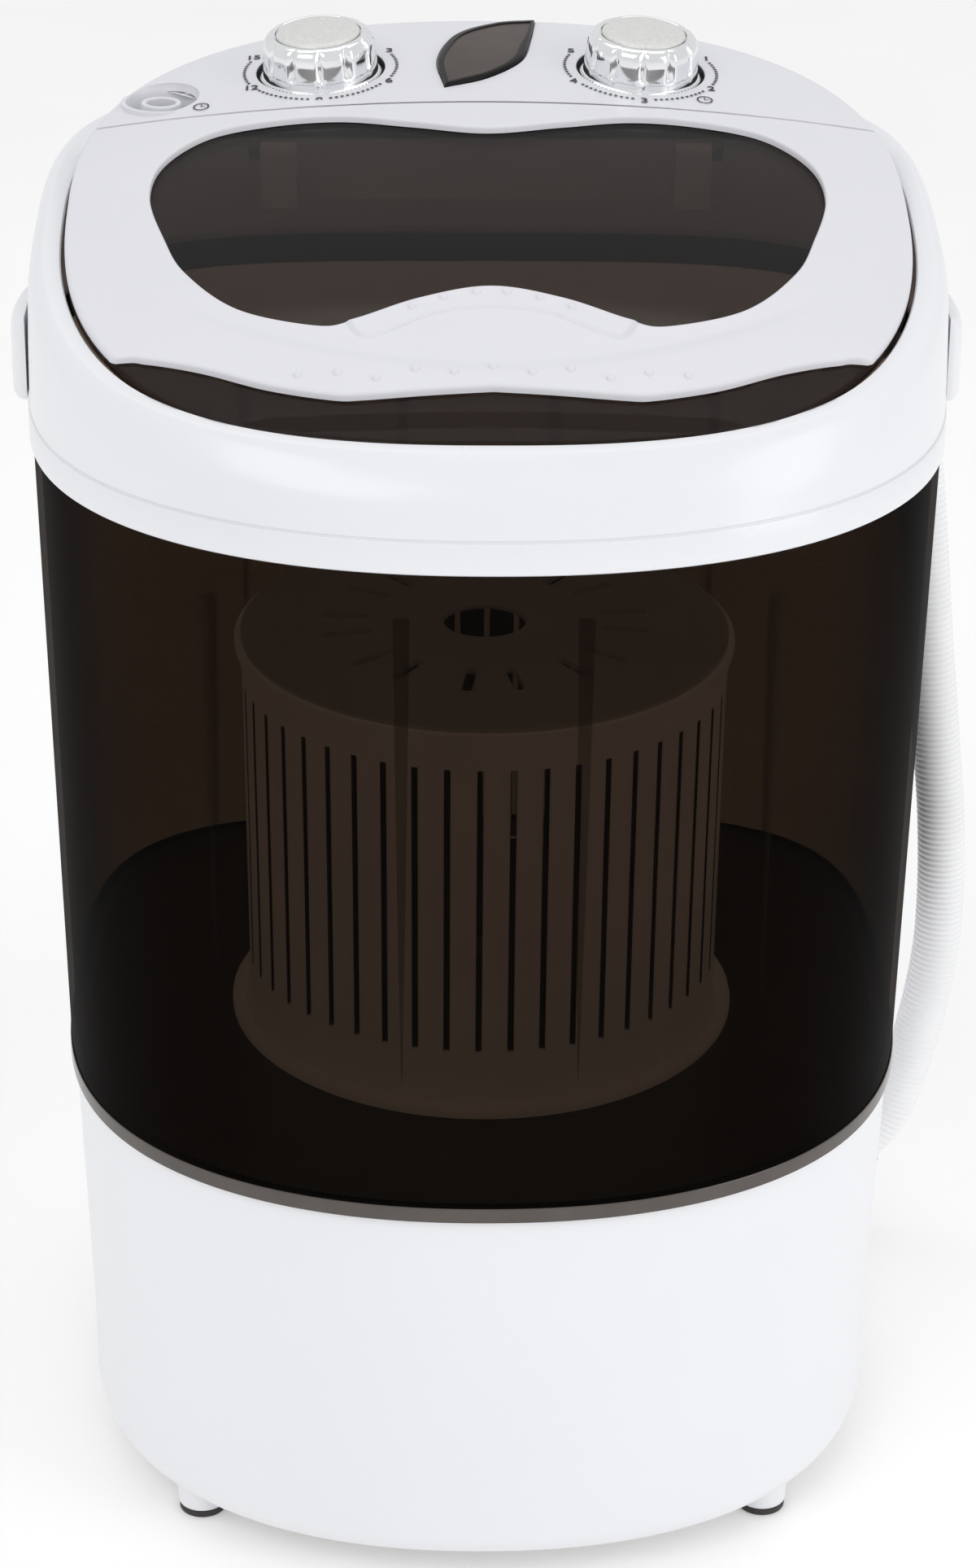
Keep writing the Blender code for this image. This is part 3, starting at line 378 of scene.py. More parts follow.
def circle(radius, z, count=64, turn=0.0):
    angles = turn + even_angles(count)
    return np.column_stack([radius * np.cos(angles), radius * np.sin(angles), np.full(count, z)])


def turned(profile, count=64, wrap=False):
    """A lathe form from (radius, height) rows."""
    return loft([circle(r, z, count) for r, z in profile], wrap)


def rounded(profile, radius, steps=4, closed=True):
    """A profile with its corners rounded off."""
    made = []
    count = len(profile)
    for i, here in enumerate(profile):
        if not closed and i in (0, count - 1):
            made.append(tuple(here))
            continue
        p = Vector(here)
        before = Vector(profile[i - 1]) - p
        after = Vector(profile[(i + 1) % count]) - p
        reach_ = min(radius, 0.45 * before.length, 0.45 * after.length)
        a = p + before.normalized() * reach_
        b = p + after.normalized() * reach_
        for k in range(steps + 1):
            t = k / steps
            made.append(tuple((1 - t) ** 2 * a + 2 * t * (1 - t) * p + t * t * b))
    return made


def block(low, high):
    corners = [(low[0], low[1]), (high[0], low[1]), (high[0], high[1]), (low[0], high[1])]
    return loft([[(x, y, low[2]) for x, y in corners], [(x, y, high[2]) for x, y in corners]])


def prism(outline, low, high):
    return loft([[(x, y, low) for x, y in outline], [(x, y, high) for x, y in outline]])


def across(outline, low, high):
    """A prism along X from (y, z) rows."""
    return loft([[(low, y, z) for y, z in outline], [(high, y, z) for y, z in outline]])


def reach(angles, a, b, p, q):
    """How far a rounded outline is from its middle, at each angle."""
    c = np.abs(np.cos(angles)) / a
    s = np.abs(np.sin(angles)) / b
    low = np.zeros_like(angles)
    high = np.full_like(angles, 0.5)
    for _ in range(38):
        middle = 0.5 * (low + high)
        inside = (middle * c) ** p + (middle * s) ** q < 1.0
        low = np.where(inside, middle, low)
        high = np.where(inside, high, middle)
    return low


def plan(a, z, front=None, rear=None, soft=0.0, count=RING_POINTS):
    """One ring of the body, from its half width and depths. At soft = 1 it is as round as the lid."""
    angles = even_angles(count, 0.5)
    ahead = np.sin(angles) < 0
    depth = np.where(ahead, front or a, rear or a)
    p, q = (np.where(ahead, f, r) for f, r in zip(FRONT, REAR))
    p, q = (value + soft * (POWER - value) for value in (p, q))
    r = reach(angles, a, depth, p, q)
    x, y = r * np.cos(angles), r * np.sin(angles)
    height = z(x, y) if callable(z) else np.full(count, float(z))
    return np.column_stack([x, y, height])


def dome(x, y):
    """Height of the crowned top, which falls towards the front and the sides."""
    u = DOME_REAR_Y - y
    return DOME_TOP - DOME_SLOPE * u - DOME_CURVE * u * u - x * x / DOME_SIDE


def seam(x):
    """Where the lid ends and the console starts."""
    return SEAM_Y - SEAM_BEND * x * x


def spline(points, steps, closed=False):
    """A smooth curve through points of any size."""
    points = [Vector(p) for p in points]
    count = len(points)
    made = []
    for i in range(count if closed else count - 1):
        if closed:
            p = [points[(i + k) % count] for k in (-1, 0, 1, 2)]
        else:
            first = points[i - 1] if i else 2 * points[0] - points[1]
            last = points[i + 2] if i + 2 < count else 2 * points[-1] - points[-2]
            p = [first, points[i], points[i + 1], last]
        for j in range(steps):
            t = j / steps
            b, c = p[2] - p[0], 2 * p[0] - 5 * p[1] + 4 * p[2] - p[3]
            d = 3 * p[1] - p[0] - 3 * p[2] + p[3]
            made.append(0.5 * (2 * p[1] + b * t + c * t * t + d * t * t * t))
    if not closed:
        made.append(points[-1])
    return made


def dial_frame(name):
    """Place and tilt of a dial, square to the top."""
    x, y = DIALS[name]
    u = DOME_REAR_Y - y
    normal = Vector((2 * x / DOME_SIDE, -DOME_SLOPE - 2 * DOME_CURVE * u, 1.0)).normalized()
    turn = normal.to_track_quat("Z", "Y").to_matrix().to_4x4()
    return Matrix.Translation((x, y, dome(x, y))) @ turn


def inlet_frame():
    return Matrix.Translation((INLET[0], INLET[1], dome(*INLET)))


# ---- the drain hose
HOSE_RADIUS, HOSE_RIB = 0.0105, 0.0003
HOSE_PITCH, RINGS_PER_RIB, HOSE_SIDES = 0.0026, 6, 28
HOSE_ROUTE = (
    (0.169, 0.106, 0.0386), (0.1772, 0.1062, 0.047), (0.188, 0.108, 0.0615),
    (0.1972, 0.11, 0.0915), (0.2045, 0.112, 0.1311), (0.2064, 0.114, 0.164),
    (0.2048, 0.116, 0.2045), (0.2005, 0.1185, 0.245), (0.1955, 0.1225, 0.29),
    (0.19, 0.13, 0.348), (0.183, 0.1395, 0.405), (0.1725, 0.149, 0.456),
    (0.166, 0.154, 0.485),
)


def even_points(points, count):
    """A count of points at equal steps along a path, and the path's length."""
    lengths = [0.0]
    for p, q in zip(points, points[1:]):
        lengths.append(lengths[-1] + (q - p).length)
    wanted = np.linspace(0.0, lengths[-1], count)
    columns = [np.interp(wanted, lengths, [p[i] for p in points]) for i in range(3)]
    return [Vector(p) for p in zip(*columns)], lengths[-1]


def sweep_frames(path):
    """Frames along a path that don't twist, as (place, side, up)."""
    side = Vector((0.0, 1.0, 0.0))
    made = []
    for i, place in enumerate(path):
        ahead = (path[min(i + 1, len(path) - 1)] - path[max(i - 1, 0)]).normalized()
        side = (side - ahead * side.dot(ahead)).normalized()
        made.append((place, side, ahead.cross(side)))
    return made


def make_hose():
    """The corrugated hose, whose ribs are flat on top and narrow between."""
    fine = spline(HOSE_ROUTE, 24)
    _, length = even_points(fine, 10)
    count = int(round(length / HOSE_PITCH)) * RINGS_PER_RIB + 1
    path, _ = even_points(fine, count)
    turns = even_angles(HOSE_SIDES)
    rings = []
    for i, (place, side, up) in enumerate(sweep_frames(path)):
        wave = math.cos(2 * math.pi * i / RINGS_PER_RIB)
        r = HOSE_RADIUS - HOSE_RIB + HOSE_RIB * max(-0.75, min(0.85, 1.4 * wave)) / 0.85
        rings.append([place + (side * math.cos(t) + up * math.sin(t)) * r for t in turns])
    hose = piece("hose_corrugated", loft(rings), "hose", "cabinet", "drain_hose", 60.0)


# ---- the shells
FOOT_X, FOOT_Y = 0.115, 0.1083
DRAIN_PLACE, CORD_PLACE = (0.157, 0.106, 0.033), (-0.06, 0.1625, 0.045)
TUB_A, TUB_FLARE, TUB_UNDER = 0.1693, 0.0053, 0.174
RIB_X = (-0.102, -0.033, 0.033, 0.102)
RIB_TOP, RIB_FOOT = 0.422, 0.231


def base_shell():
    """The white base, with holes for the drain elbow and the cord gland."""
    outer = [(0.156, BASE_BOTTOM), (0.1612, BASE_BOTTOM), (0.1641, 0.02), (0.1641, 0.05)]
    outer += [(0.1656, 0.1), (0.1672, 0.15), (0.168, BASE_TOP)]
    outer = rounded(outer, 0.0035, 6, closed=False)
    outer += [(0.1652, BASE_TOP), (0.1644, 0.15), (0.1628, 0.1), (0.1613, 0.05)]
    outer += [(0.1609, 0.0195), (0.1275, 0.0165), (0.1275, BASE_BOTTOM)]
    shell = piece(
        "base_body", loft([plan(a, z) for a, z in outer], True), "base", "cabinet", "base_shell",
    )
    drain = Matrix.Translation(DRAIN_PLACE) @ Matrix.Rotation(math.pi / 2, 4, "Y")
    cord = Matrix.Translation(CORD_PLACE) @ Matrix.Rotation(-math.pi / 2, 4, "X")
    combine(shell, solid(turned([(0.009, -0.01), (0.009, 0.012)], 40), drain))
    combine(shell, solid(turned([(0.0072, -0.015), (0.0072, 0.01)], 40), cord))


def feet():
    corners = (("front_left", -1, -1), ("front_right", 1, -1), ("rear_left", -1, 1), ("rear_right", 1, 1))
    for place, side, end in corners:
        at = Matrix.Translation((side * FOOT_X, end * FOOT_Y, 0.0))
        top = BASE_BOTTOM - 0.0003
        post = rounded([(0.002, 0.0033), (0.0099, 0.0033), (0.0105, top), (0.002, top)], 0.0008, 4, False)
        piece("post_" + place, turned(post, 40), "base", "cabinet", "foot_" + place, at=at)
        pad = rounded([(0.002, 0.0), (0.0096, 0.0), (0.0096, 0.003), (0.002, 0.003)], 0.0008, 4, False)
        piece("pad_" + place, turned(pad, 40), "rubber", "cabinet", "foot_pad_" + place, at=at)


def tub_a(z, inset=0.0):
    """Half width of the tub's wall, which widens upwards."""
    return TUB_A + TUB_FLARE * (z - TUB_BOTTOM) / 0.2685 - inset


def tub():
    """The clear wall, its floor and its lower lip, with stiffeners inside the front and rear."""
    outer = [(0.17, TUB_BOTTOM), (0.17, 0.1795), (tub_a(0.1802), 0.1802)]
    outer = rounded(outer, 0.0006, 3, False)
    outer += [(tub_a(z), z) for z in np.linspace(0.19, TUB_SHOULDER, 9)]
    outer += [(0.173, TUB_SHOULDER), (0.173, TUB_TOP), (0.1706, TUB_TOP), (0.1706, 0.439)]
    outer += [(tub_a(z, 0.0024), z) for z in np.linspace(0.434, 0.19, 8)]
    outer += [(0.166, 0.18), (0.1625, FLOOR_TOP + 0.0006), (0.15, FLOOR_TOP), (0.09, FLOOR_TOP)]
    rings = [plan(a, z) for a, z in outer]
    turn = math.pi / RING_POINTS
    middle = ((0.03, FLOOR_TOP), (0.012, FLOOR_TOP), (0.012, TUB_UNDER), (0.03, TUB_UNDER))
    rings += [circle(r, z, RING_POINTS, turn) for r, z in middle]
    rings += [plan(0.09, TUB_UNDER), plan(0.165, TUB_UNDER)]
    shell = piece("tub_wall", loft(rings, True), "tub", "cabinet", "tub")
    shell.data.materials.append(M["lip"])
    for face in shell.data.polygons:
        low = max(shell.data.vertices[v].co.z for v in face.vertices) < 0.1801
        away = math.hypot(face.center.x, face.center.y)
        if low and away > 0.02:
            outward = abs(face.normal.z) < 0.6 and away > 0.1
            face.material_index = 1 if outward or face.center.z < FLOOR_TOP + 0.002 else 0
    for i, x in enumerate(RIB_X):
        for end in (-1, 1):
            tub_rib(f"tub_rib_{i + 1}_{'front' if end < 0 else 'rear'}", x, end)


def tub_rib(name, x, end):
    """A half-round stiffener down the inside of the wall, wide at the top and running out below."""
    p, q = FRONT if end < 0 else REAR
    rings = []
    for t in np.linspace(0.0, 1.0, 24):
        z = RIB_TOP - t * (RIB_TOP - RIB_FOOT)
        a = tub_a(z, 0.0025)
        wall = end * a * (1.0 - (abs(x) / a) ** p) ** (1.0 / q)
        size = max(0.0002, (1.0 - t) ** 0.8)
        ring = []
        for k in range(12):
            angle = 2 * math.pi * k / 12
            y = wall - end * (0.0052 * size) * (1 + math.sin(angle)) * 0.5
            ring.append((x + 0.003 * size * math.cos(angle), y, z))
        rings.append(ring)
    piece(name, loft(rings), "rib", "cabinet")


RIM_Y = (-0.158, -0.13, -0.1, -0.05, 0.0, 0.05, 0.09)
RIM_Z = (0.481, 0.4845, 0.49, 0.5035, 0.515, 0.5222, 0.525)


def rim(y):
    """Height of the collar's inner edge."""
    fine = np.array([[p.x, p.y] for p in spline([Vector((a, b)) for a, b in zip(RIM_Y, RIM_Z)], 8)])
    return np.interp(y, fine[:, 0], fine[:, 1])


def collar():
    """The white collar. Its rows: half width, two depths, softness, share of the rim's rise, lift."""
    rows = [
        (0.1754, 0.1754, 0.1754, 0.0, 0.0, 0.0),
        (0.1749, 0.1705, 0.1749, 0.2, 0.5, 0.0),
        (0.1738, 0.1632, 0.1733, 0.4, 0.85, 0.0),
        (0.1695, 0.158, 0.167, 0.7, 1.0, 0.0),
        (0.165, 0.1545, 0.16, 0.85, 1.0, 0.0009),
    ]
    smooth = [tuple(row) for row in spline([Vector(row) for row in rows], 5)]
    outer = [
        (0.1754, 0.1754, 0.1754, 0, 0, -0.0135), (0.176, 0.176, 0.176, 0, 0, -0.013),
        (0.176, 0.176, 0.176, 0, 0, -0.0018), (0.1757, 0.1757, 0.1757, 0, 0, -0.0013),
        (0.1751, 0.1751, 0.1751, 0, 0, -0.0012), (0.1749, 0.1749, 0.1749, 0, 0, -0.0008),
        (0.1751, 0.1751, 0.1751, 0, 0, -0.0003),
    ]
    inner = [
        (0.1621, 0.1524, 0.1536, 1.0, 1.0, 0.0007),
        (0.1615, 0.1518, 0.153, 1.0, 1.0, 0.0001),
        (0.1615, 0.1518, 0.153, 1.0, 1.0, -0.0022),
        (0.1685, 0.157, 0.1655, 0.7, 1.0, -0.0032),
        (0.1714, 0.1612, 0.1709, 0.4, 0.85, -0.0012),
        (0.1725, 0.1675, 0.1725, 0.2, 0.5, -0.0012),
        (0.1728, 0.1726, 0.1728, 0.0, 0.0, 0.0018),
        (0.1735, 0.1735, 0.1735, 0.0, 0.0, 0.0012),
        (0.1735, 0.1735, 0.1735, 0.0, 0.0, -0.0135),
    ]
    rings = []
    for a, front, rear, soft, share, lift in outer + smooth + inner:
        rings.append(
            plan(a, lambda x, y: COLLAR_STEP + share * (rim(y) - COLLAR_STEP) + lift, front, rear, soft)
        )
    piece("collar_shell", loft(rings, True), "white", "cabinet", "collar", sharp=40.0)


def outline_ring(scale, drop, grow=0.0, middle=(0.0, 0.0), z=None):
    """The outline of lid and console, drop below the crowned top, or level at z."""
    angles = even_angles(RING_POINTS, 0.5)
    r = reach(angles, HALF_WIDTH + grow, HALF_DEPTH + grow, POWER, POWER)
    x = middle[0] + scale * (r * np.cos(angles) - middle[0])
    y = middle[1] + scale * (r * np.sin(angles) - middle[1])
    height = dome(x, y) - drop if z is None else np.full(RING_POINTS, z)
    return np.column_stack([x, y, height])


LEAF = (
    (-0.016, 0.0756), (-0.0187, 0.102), (-0.0113, 0.1294), (0.006, 0.144),
    (0.0213, 0.1477), (0.019, 0.126), (0.0145, 0.1021), (0.0012, 0.085),
)


def leaf_outline():
    """Two curved sides that meet in two points."""
    left = spline([Vector(p) for p in LEAF[:5]], 7)
    right = spline([Vector(p) for p in LEAF[4:] + LEAF[:1]], 7)
    return [tuple(p) for p in left[:-1] + right[:-1]]


def leaf_rings(spec):
    """The leaf's outline for each row of (share, growth, lift)."""
    outline = leaf_outline()
    cx = sum(x for x, _ in outline) / len(outline)
    cy = sum(y for _, y in outline) / len(outline)
    rings = []
    for share, grow, lift in spec:
        ring = []
        for x, y in outline:
            away = Vector((x - cx, y - cy))
            moved = (away + away.normalized() * grow) * share
            ring.append((cx + moved.x, cy + moved.y, dome(cx + moved.x, cy + moved.y) + lift))
        rings.append(ring)
    return rings


def console():
    """The white console, with a well for each dial, a dish for the inlet and a seat for the leaf."""
    middle = (0.0, 0.09)
    rings = [outline_ring(s, 0.0026, -0.0025, middle) for s in (0.1, 0.35, 0.62)]
    rings.append(outline_ring(1.0, 0.003, -0.0026))
    rings += [outline_ring(1.0, 0.0, -inset, z=0.512) for inset in (0.0026, 0.0)]
    for drop, inset in ((0.0022, 0.0), (0.0012, 0.0002), (0.0005, 0.0007), (0.0001, 0.0014), (0.0, 0.0022)):
        rings.append(outline_ring(1.0, drop, -inset))
    rings += [outline_ring(s, 0.0, -0.0024, middle) for s in (0.93, 0.8, 0.62, 0.44, 0.26, 0.1)]
    panel = piece("console_top", loft(rings), "top", "cabinet", "console_panel")
    xs = np.linspace(-0.2, 0.2, 41)
    ahead = [(x, seam(x) + 0.0004) for x in xs] + [(0.2, -0.25), (-0.2, -0.25)]
    combine(panel, solid(prism(ahead, 0.4, 0.62)))
    combine(panel, hinge_sweep())
    for name in DIALS:
        at = dial_frame(name)
        combine(panel, solid(turned([(0.0285, -0.0085), (0.0285, -0.0015)], 64), at), "UNION")
        well = [(0.0272, 0.006), (0.0272, 0.0002), (0.0262, -0.0001), (0.0258, -0.0007), (0.0258, -0.004)]
        combine(panel, solid(turned(well, 96), at))
        combine(panel, solid(turned([(0.0042, -0.012), (0.0042, 0.001)], 24), at))
    at = inlet_frame()
    combine(panel, solid(turned([(0.016, -0.014), (0.016, -0.0012)], 48), at), "UNION")
    dish = [
        (0.0152, 0.009), (0.0152, 0.0008), (0.0145, -0.0004), (0.014, -0.0018), (0.0134, -0.0075),
        (0.0125, -0.0088),
    ]
    combine(panel, solid(turned(dish, 72), at))
    combine(panel, solid(turned([(0.0083, -0.02), (0.0083, 0.0)], 48), at))
    corners = ((0.2, -0.0012), (1.0, -0.0012), (1.0, 0.006), (0.2, 0.006))
    seat = [(share, 0.0007, lift) for share, lift in corners]
    combine(panel, solid(loft(leaf_rings(seat))))
    # Painted shade: the faces deep in each dial well take a dark grey in place of the shade under the knob's
    # flange.
    panel.data.materials.append(M["shadow"])
    for name in DIALS:
        inward = dial_frame(name).inverted()
        for face in panel.data.polygons:
            spot = inward @ face.center
            if math.hypot(spot.x, spot.y) < 0.0266 and spot.z < -0.0012:
                face.material_index = 1


def around_hinge(radius, angle):
    return HINGE_Y + radius * math.cos(angle), HINGE_Z + radius * math.sin(angle)


def hinge_sweep():
    """The room that the lid's rear edge swings through."""
    rings = []
    for x in np.linspace(-0.168, 0.168, 33):
        y = seam(x) - 0.0004
        radius = math.hypot(y - HINGE_Y, dome(x, y) - HINGE_Z) + 0.0004
        rings.append([(x, *around_hinge(radius, t)) for t in even_angles(48)])
    return solid(loft(rings))


def leaf_window():
    spec = [
        (0.1, 0.0, -0.0008), (0.6, 0.0, -0.0008), (1.0, -0.0002, -0.0008), (1.0, 0.0, -0.0005),
        (1.0, 0.0, 0.0007), (1.0, -0.0003, 0.0011), (1.0, -0.0009, 0.0014), (1.0, -0.003, 0.0014),
        (1.0, -0.0034, 0.0009), (0.75, -0.0026, 0.0009), (0.45, -0.0015, 0.0009), (0.1, 0.0, 0.0009),
    ]
    lens = piece("leaf_lens", loft(leaf_rings(spec)), "rim", "cabinet", "leaf_window")
    lens.data.materials.append(M["leaf"])
    count = len(leaf_outline())
    for face in lens.data.polygons:
        if min(face.vertices) >= 8 * count:
            face.material_index = 1


def inlet():
    tube = rounded([(0.0058, -0.04), (0.008, -0.04), (0.008, -0.0014), (0.0058, -0.0014)], 0.0007, 4)
    piece(
        "inlet_tube", turned(tube, 64, True), "top", "cabinet", "inlet_nozzle",
        at=inlet_frame(),
    )


# ---- the lid
WINDOW = (
    (0.0, 0.04), (0.029, 0.0458), (0.0575, 0.0525), (0.086, 0.0515), (0.109, 0.0445),
    (0.125, 0.025), (0.1285, 0.0), (0.1216, -0.0294), (0.1127, -0.0525), (0.093, -0.0762),
    (0.0635, -0.0886), (0.049, -0.0862), (0.026, -0.0757), (0.0, -0.0693),
)
LID_FRONT = (
    (0.0, -0.1228), (0.023, -0.1243), (0.046, -0.1258), (0.058, -0.1251), (0.0814, -0.1182),
    (0.105, -0.107), (0.125, -0.0995), (0.138, -0.0972), (0.2, -0.0965),
)
MIDDLE_Y = -0.015


def lid_angles(count=300):
    """Even angles round the lid's middle, with the outline's four corners hit exactly."""
    corners = []
    for x, y in ((0.1552, 0.0597), (0.1373, -0.0979)):
        angle = math.atan2(y - MIDDLE_Y, x)
        corners += [angle % (2 * math.pi), (math.pi - angle) % (2 * math.pi)]
    step = 2 * math.pi / count
    even = [step * i for i in range(count)]
    kept = [a for a in even if all(abs(a - c) > 0.5 * step for c in corners)]
    return np.array(sorted(kept + corners))


def window_reach(angles):
    """How far the window's edge is from the lid's middle, at each angle."""
    loop = list(WINDOW) + [(-x, y) for x, y in reversed(WINDOW[1:-1])]
    fine = spline([Vector(p) for p in loop], 10, closed=True)
    at = [math.atan2(p.y - MIDDLE_Y, p.x) % (2 * math.pi) for p in fine]
    found = np.array([(angle, math.hypot(p.x, p.y - MIDDLE_Y)) for angle, p in zip(at, fine)])
    found = found[np.argsort(found[:, 0])]
    return np.interp(angles, found[:, 0], found[:, 1], period=2 * math.pi)


def in_lid(x, y):
    rounded_ = (np.abs(x) / HALF_WIDTH) ** POWER + (np.abs(y) / 0.1503) ** POWER
    return (rounded_ < 1.0) & (y < seam(x) - 0.0004)


def in_frame(x, y):
    fine = np.array([[p.x, p.y] for p in spline([Vector(p) for p in LID_FRONT], 8)])
    return in_lid(x, y) & (y > np.interp(np.abs(x), fine[:, 0], fine[:, 1]))


def reach_in(inside, angles):
    """How far an outline given as a test is from the lid's middle, at each angle."""
    low = np.zeros_like(angles)
    high = np.full_like(angles, 0.25)
    for _ in range(32):
        middle = 0.5 * (low + high)
        test = inside(middle * np.cos(angles), MIDDLE_Y + middle * np.sin(angles))
        low = np.where(test, middle, low)
        high = np.where(test, high, middle)
    return low


def polar(angles, r, drop):
    """A ring on the crowned top, or drop below it."""
    x, y = r * np.cos(angles), MIDDLE_Y + r * np.sin(angles)
    fall = drop(x, y) if callable(drop) else drop
    return np.column_stack([x, y, dome(x, y) - fall])


def panel_drop(x, y):
    """How far the clear panel lies below the crowned top, and less at its front edge."""
    t = np.clip((-0.131 - y) / 0.014, 0.0, 1.0)
    return 0.003 - 0.0022 * t * t * (3 - 2 * t)


PAD_X = (0.0, 0.0135, 0.0215, 0.0308, 0.0377, 0.0438, 0.0472, 0.0492, 0.0506, 0.052)
PAD_Y = (-0.0803, -0.0816, -0.084, -0.089, -0.0932, -0.0958, -0.0958, -0.0943, -0.092, -0.088)
PAD_LIFT = 0.0005


def grip(x, y):
    """The raised finger pad behind the window's front bulge, with a fine groove along its edge."""
    inside = y - np.interp(np.abs(x), PAD_X, PAD_Y)
    near = (np.abs(x) < 0.0519) & (y > -0.102)
    step = np.clip(inside / 0.0008, 0.0, 1.0)
    groove = np.exp(-(((inside + 0.0005) / 0.0005) ** 2))
    return np.where(near, PAD_LIFT * step - PAD_LIFT * groove, 0.0)


def valley(x, y):
    """A soft hollow across the frame's front, between the pad and the front row of dots."""
    fade = np.clip((0.125 - np.abs(x)) / 0.04, 0.0, 1.0)
    return -0.0011 * fade * np.exp(-(((y + 0.1085 - 2.9 * x * x) / 0.0048) ** 2))


def lid_frame():
    """The white frame round the window, with its pad and hollow."""
    angles = lid_angles(720)
    inner = window_reach(angles)
    outer = reach_in(in_frame, angles)
    rings = []
    for d, drop in ((0.0, 0.0027), (0.0, 0.001), (0.0002, 0.0005), (0.0006, 0.0001), (0.0012, 0.0)):
        rings.append(polar(angles, inner + d, drop))
    wide = outer - inner
    for share in np.append(np.linspace(0.01, 0.66, 62), np.linspace(0.69, 0.98, 14)):
        rings.append(polar(angles, inner + 0.0012 + share * (wide - 0.0026), 0.0))
    for d, drop in ((0.0014, 0.0), (0.0007, 0.0001), (0.0002, 0.0005), (0.0, 0.0011), (0.0, 0.0027)):
        rings.append(polar(angles, outer - d, drop))
    for share in (0.66, 0.33):
        rings.append(polar(angles, inner + share * wide, 0.0027))
    for ring in rings[1:-3]:
        front = ring[:, 1] < -0.06
        ring[:, 2] += np.where(front, grip(ring[:, 0], ring[:, 1]) + valley(ring[:, 0], ring[:, 1]), 0.0)
    piece("lid_rim", loft(rings, True), "top", "lid", "lid_frame", sharp=40.0)
    lid_dots()


DOTS = ((0.0291, -0.0815), (0.0176, -0.0766), (0.0056, -0.0737))
ROW = (
    (0.0, -0.1131), (0.014, -0.1162), (0.0279, -0.1144),
    (0.042, -0.1186), (0.0558, -0.115), (0.07, -0.1153),
)
DOT_PROFILE = ((0.00165, -0.0005), (0.0016, 0.0001), (0.00125, 0.0008), (0.0005, 0.00115))
DOT_SIDES = 16


def lid_dots():
    """Small raised grip dots: an arc of six on the pad and a zig-zag row of eleven ahead of it."""
    spots = [(x, y, PAD_LIFT) for x, y in DOTS] + [(-x, y, PAD_LIFT) for x, y in reversed(DOTS)]
    spots += [(s * x, y, valley(s * x, y)) for x, y in ROW for s in (-1, 1) if x or s > 0]
    turns = [2 * math.pi * k / DOT_SIDES for k in range(DOT_SIDES)]
    points, faces = [], []
    for x, y, lift in spots:
        rings = []
        for r, h in DOT_PROFILE:
            ring = [(x + r * math.cos(t), y + r * math.sin(t)) for t in turns]
            rings.append([(px, py, dome(px, py) + lift + h) for px, py in ring])
        dot_points, dot_faces = loft(rings)
        faces += [tuple(len(points) + i for i in face) for face in dot_faces]
        points += dot_points
    piece("lid_dots", (points, faces), "top", "lid")


def lid_panel():
    """The clear panel, darker where it shows ahead of the frame, with an ear for each hinge pin."""
    angles = lid_angles()
    outer = reach_in(in_lid, angles)
    shares = [0.04] + list(np.linspace(0.12, 0.96, 20))
    rings = [polar(angles, outer * s, panel_drop) for s in shares]
    for d, more in ((0.0015, 0.0), (0.0006, 0.0001), (0.0002, 0.0004), (0.0, 0.0009), (0.0, 0.0025)):
        rings.append(polar(angles, outer - d, lambda x, y, m=more: panel_drop(x, y) + m))
    rings += [polar(angles, outer * s, lambda x, y: panel_drop(x, y) + 0.0025) for s in reversed(shares)]
    panel = piece("lid_glass", loft(rings), "panel", "lid", "lid_panel")
    panel.data.materials.append(M["front"])
    for face in panel.data.polygons:
        edge = np.interp(abs(face.center.x), *np.array(LID_FRONT).T)
        face.material_index = 1 if face.center.y < edge + 0.004 else 0
    for side in (-1, 1):
        ends = sorted((side * (HINGE_X + 0.0074), side * (HINGE_X + 0.0114)))
        eye = [around_hinge(0.0034, t) for t in np.linspace(0.0, -math.pi, 20)]
        ear = solid(across([(0.041, 0.5335), (0.052, 0.5345)] + eye, *ends))
        combine(panel, ear, "UNION")
        hole = [around_hinge(0.0016, t) for t in even_angles(24)]
        combine(panel, solid(across(hole, ends[0] - 0.001, ends[1] + 0.001)))


# ---- the dials
FLUTES, FLUTE_DEPTH = 12, 0.0015
MARK_LIFT = 0.0003
NUMBER_RADIUS, NUMBER_SIZE, NUMBER_WEIGHT = 0.0316, 0.006, 0.00016
SCALE_RADIUS, SCALE_DOT, FIRST_NUMBER, BETWEEN_NUMBERS = 0.0305, 0.0012, 30, 60
FLANGE_RADIUS, FLANGE_DOT, FLANGE_STEP = 0.0237, 0.0008, 4.6
SCALES = {"wash": ("3", "6", "9", "12", "15"), "spin": ("1", "2", "3", "4", "5")}


def fluted(radius, z, flute, count=288):
    """A ring of the knob, scooped between its ridges."""
    angles = even_angles(count)
    wave = np.abs(np.sin(FLUTES / 2 * angles))
    r = radius - FLUTE_DEPTH * flute * (1.0 - np.clip(wave * 1.9, 0.0, 1.0) ** 0.8)
    return np.column_stack([r * np.cos(angles), r * np.sin(angles), np.full(count, z)])


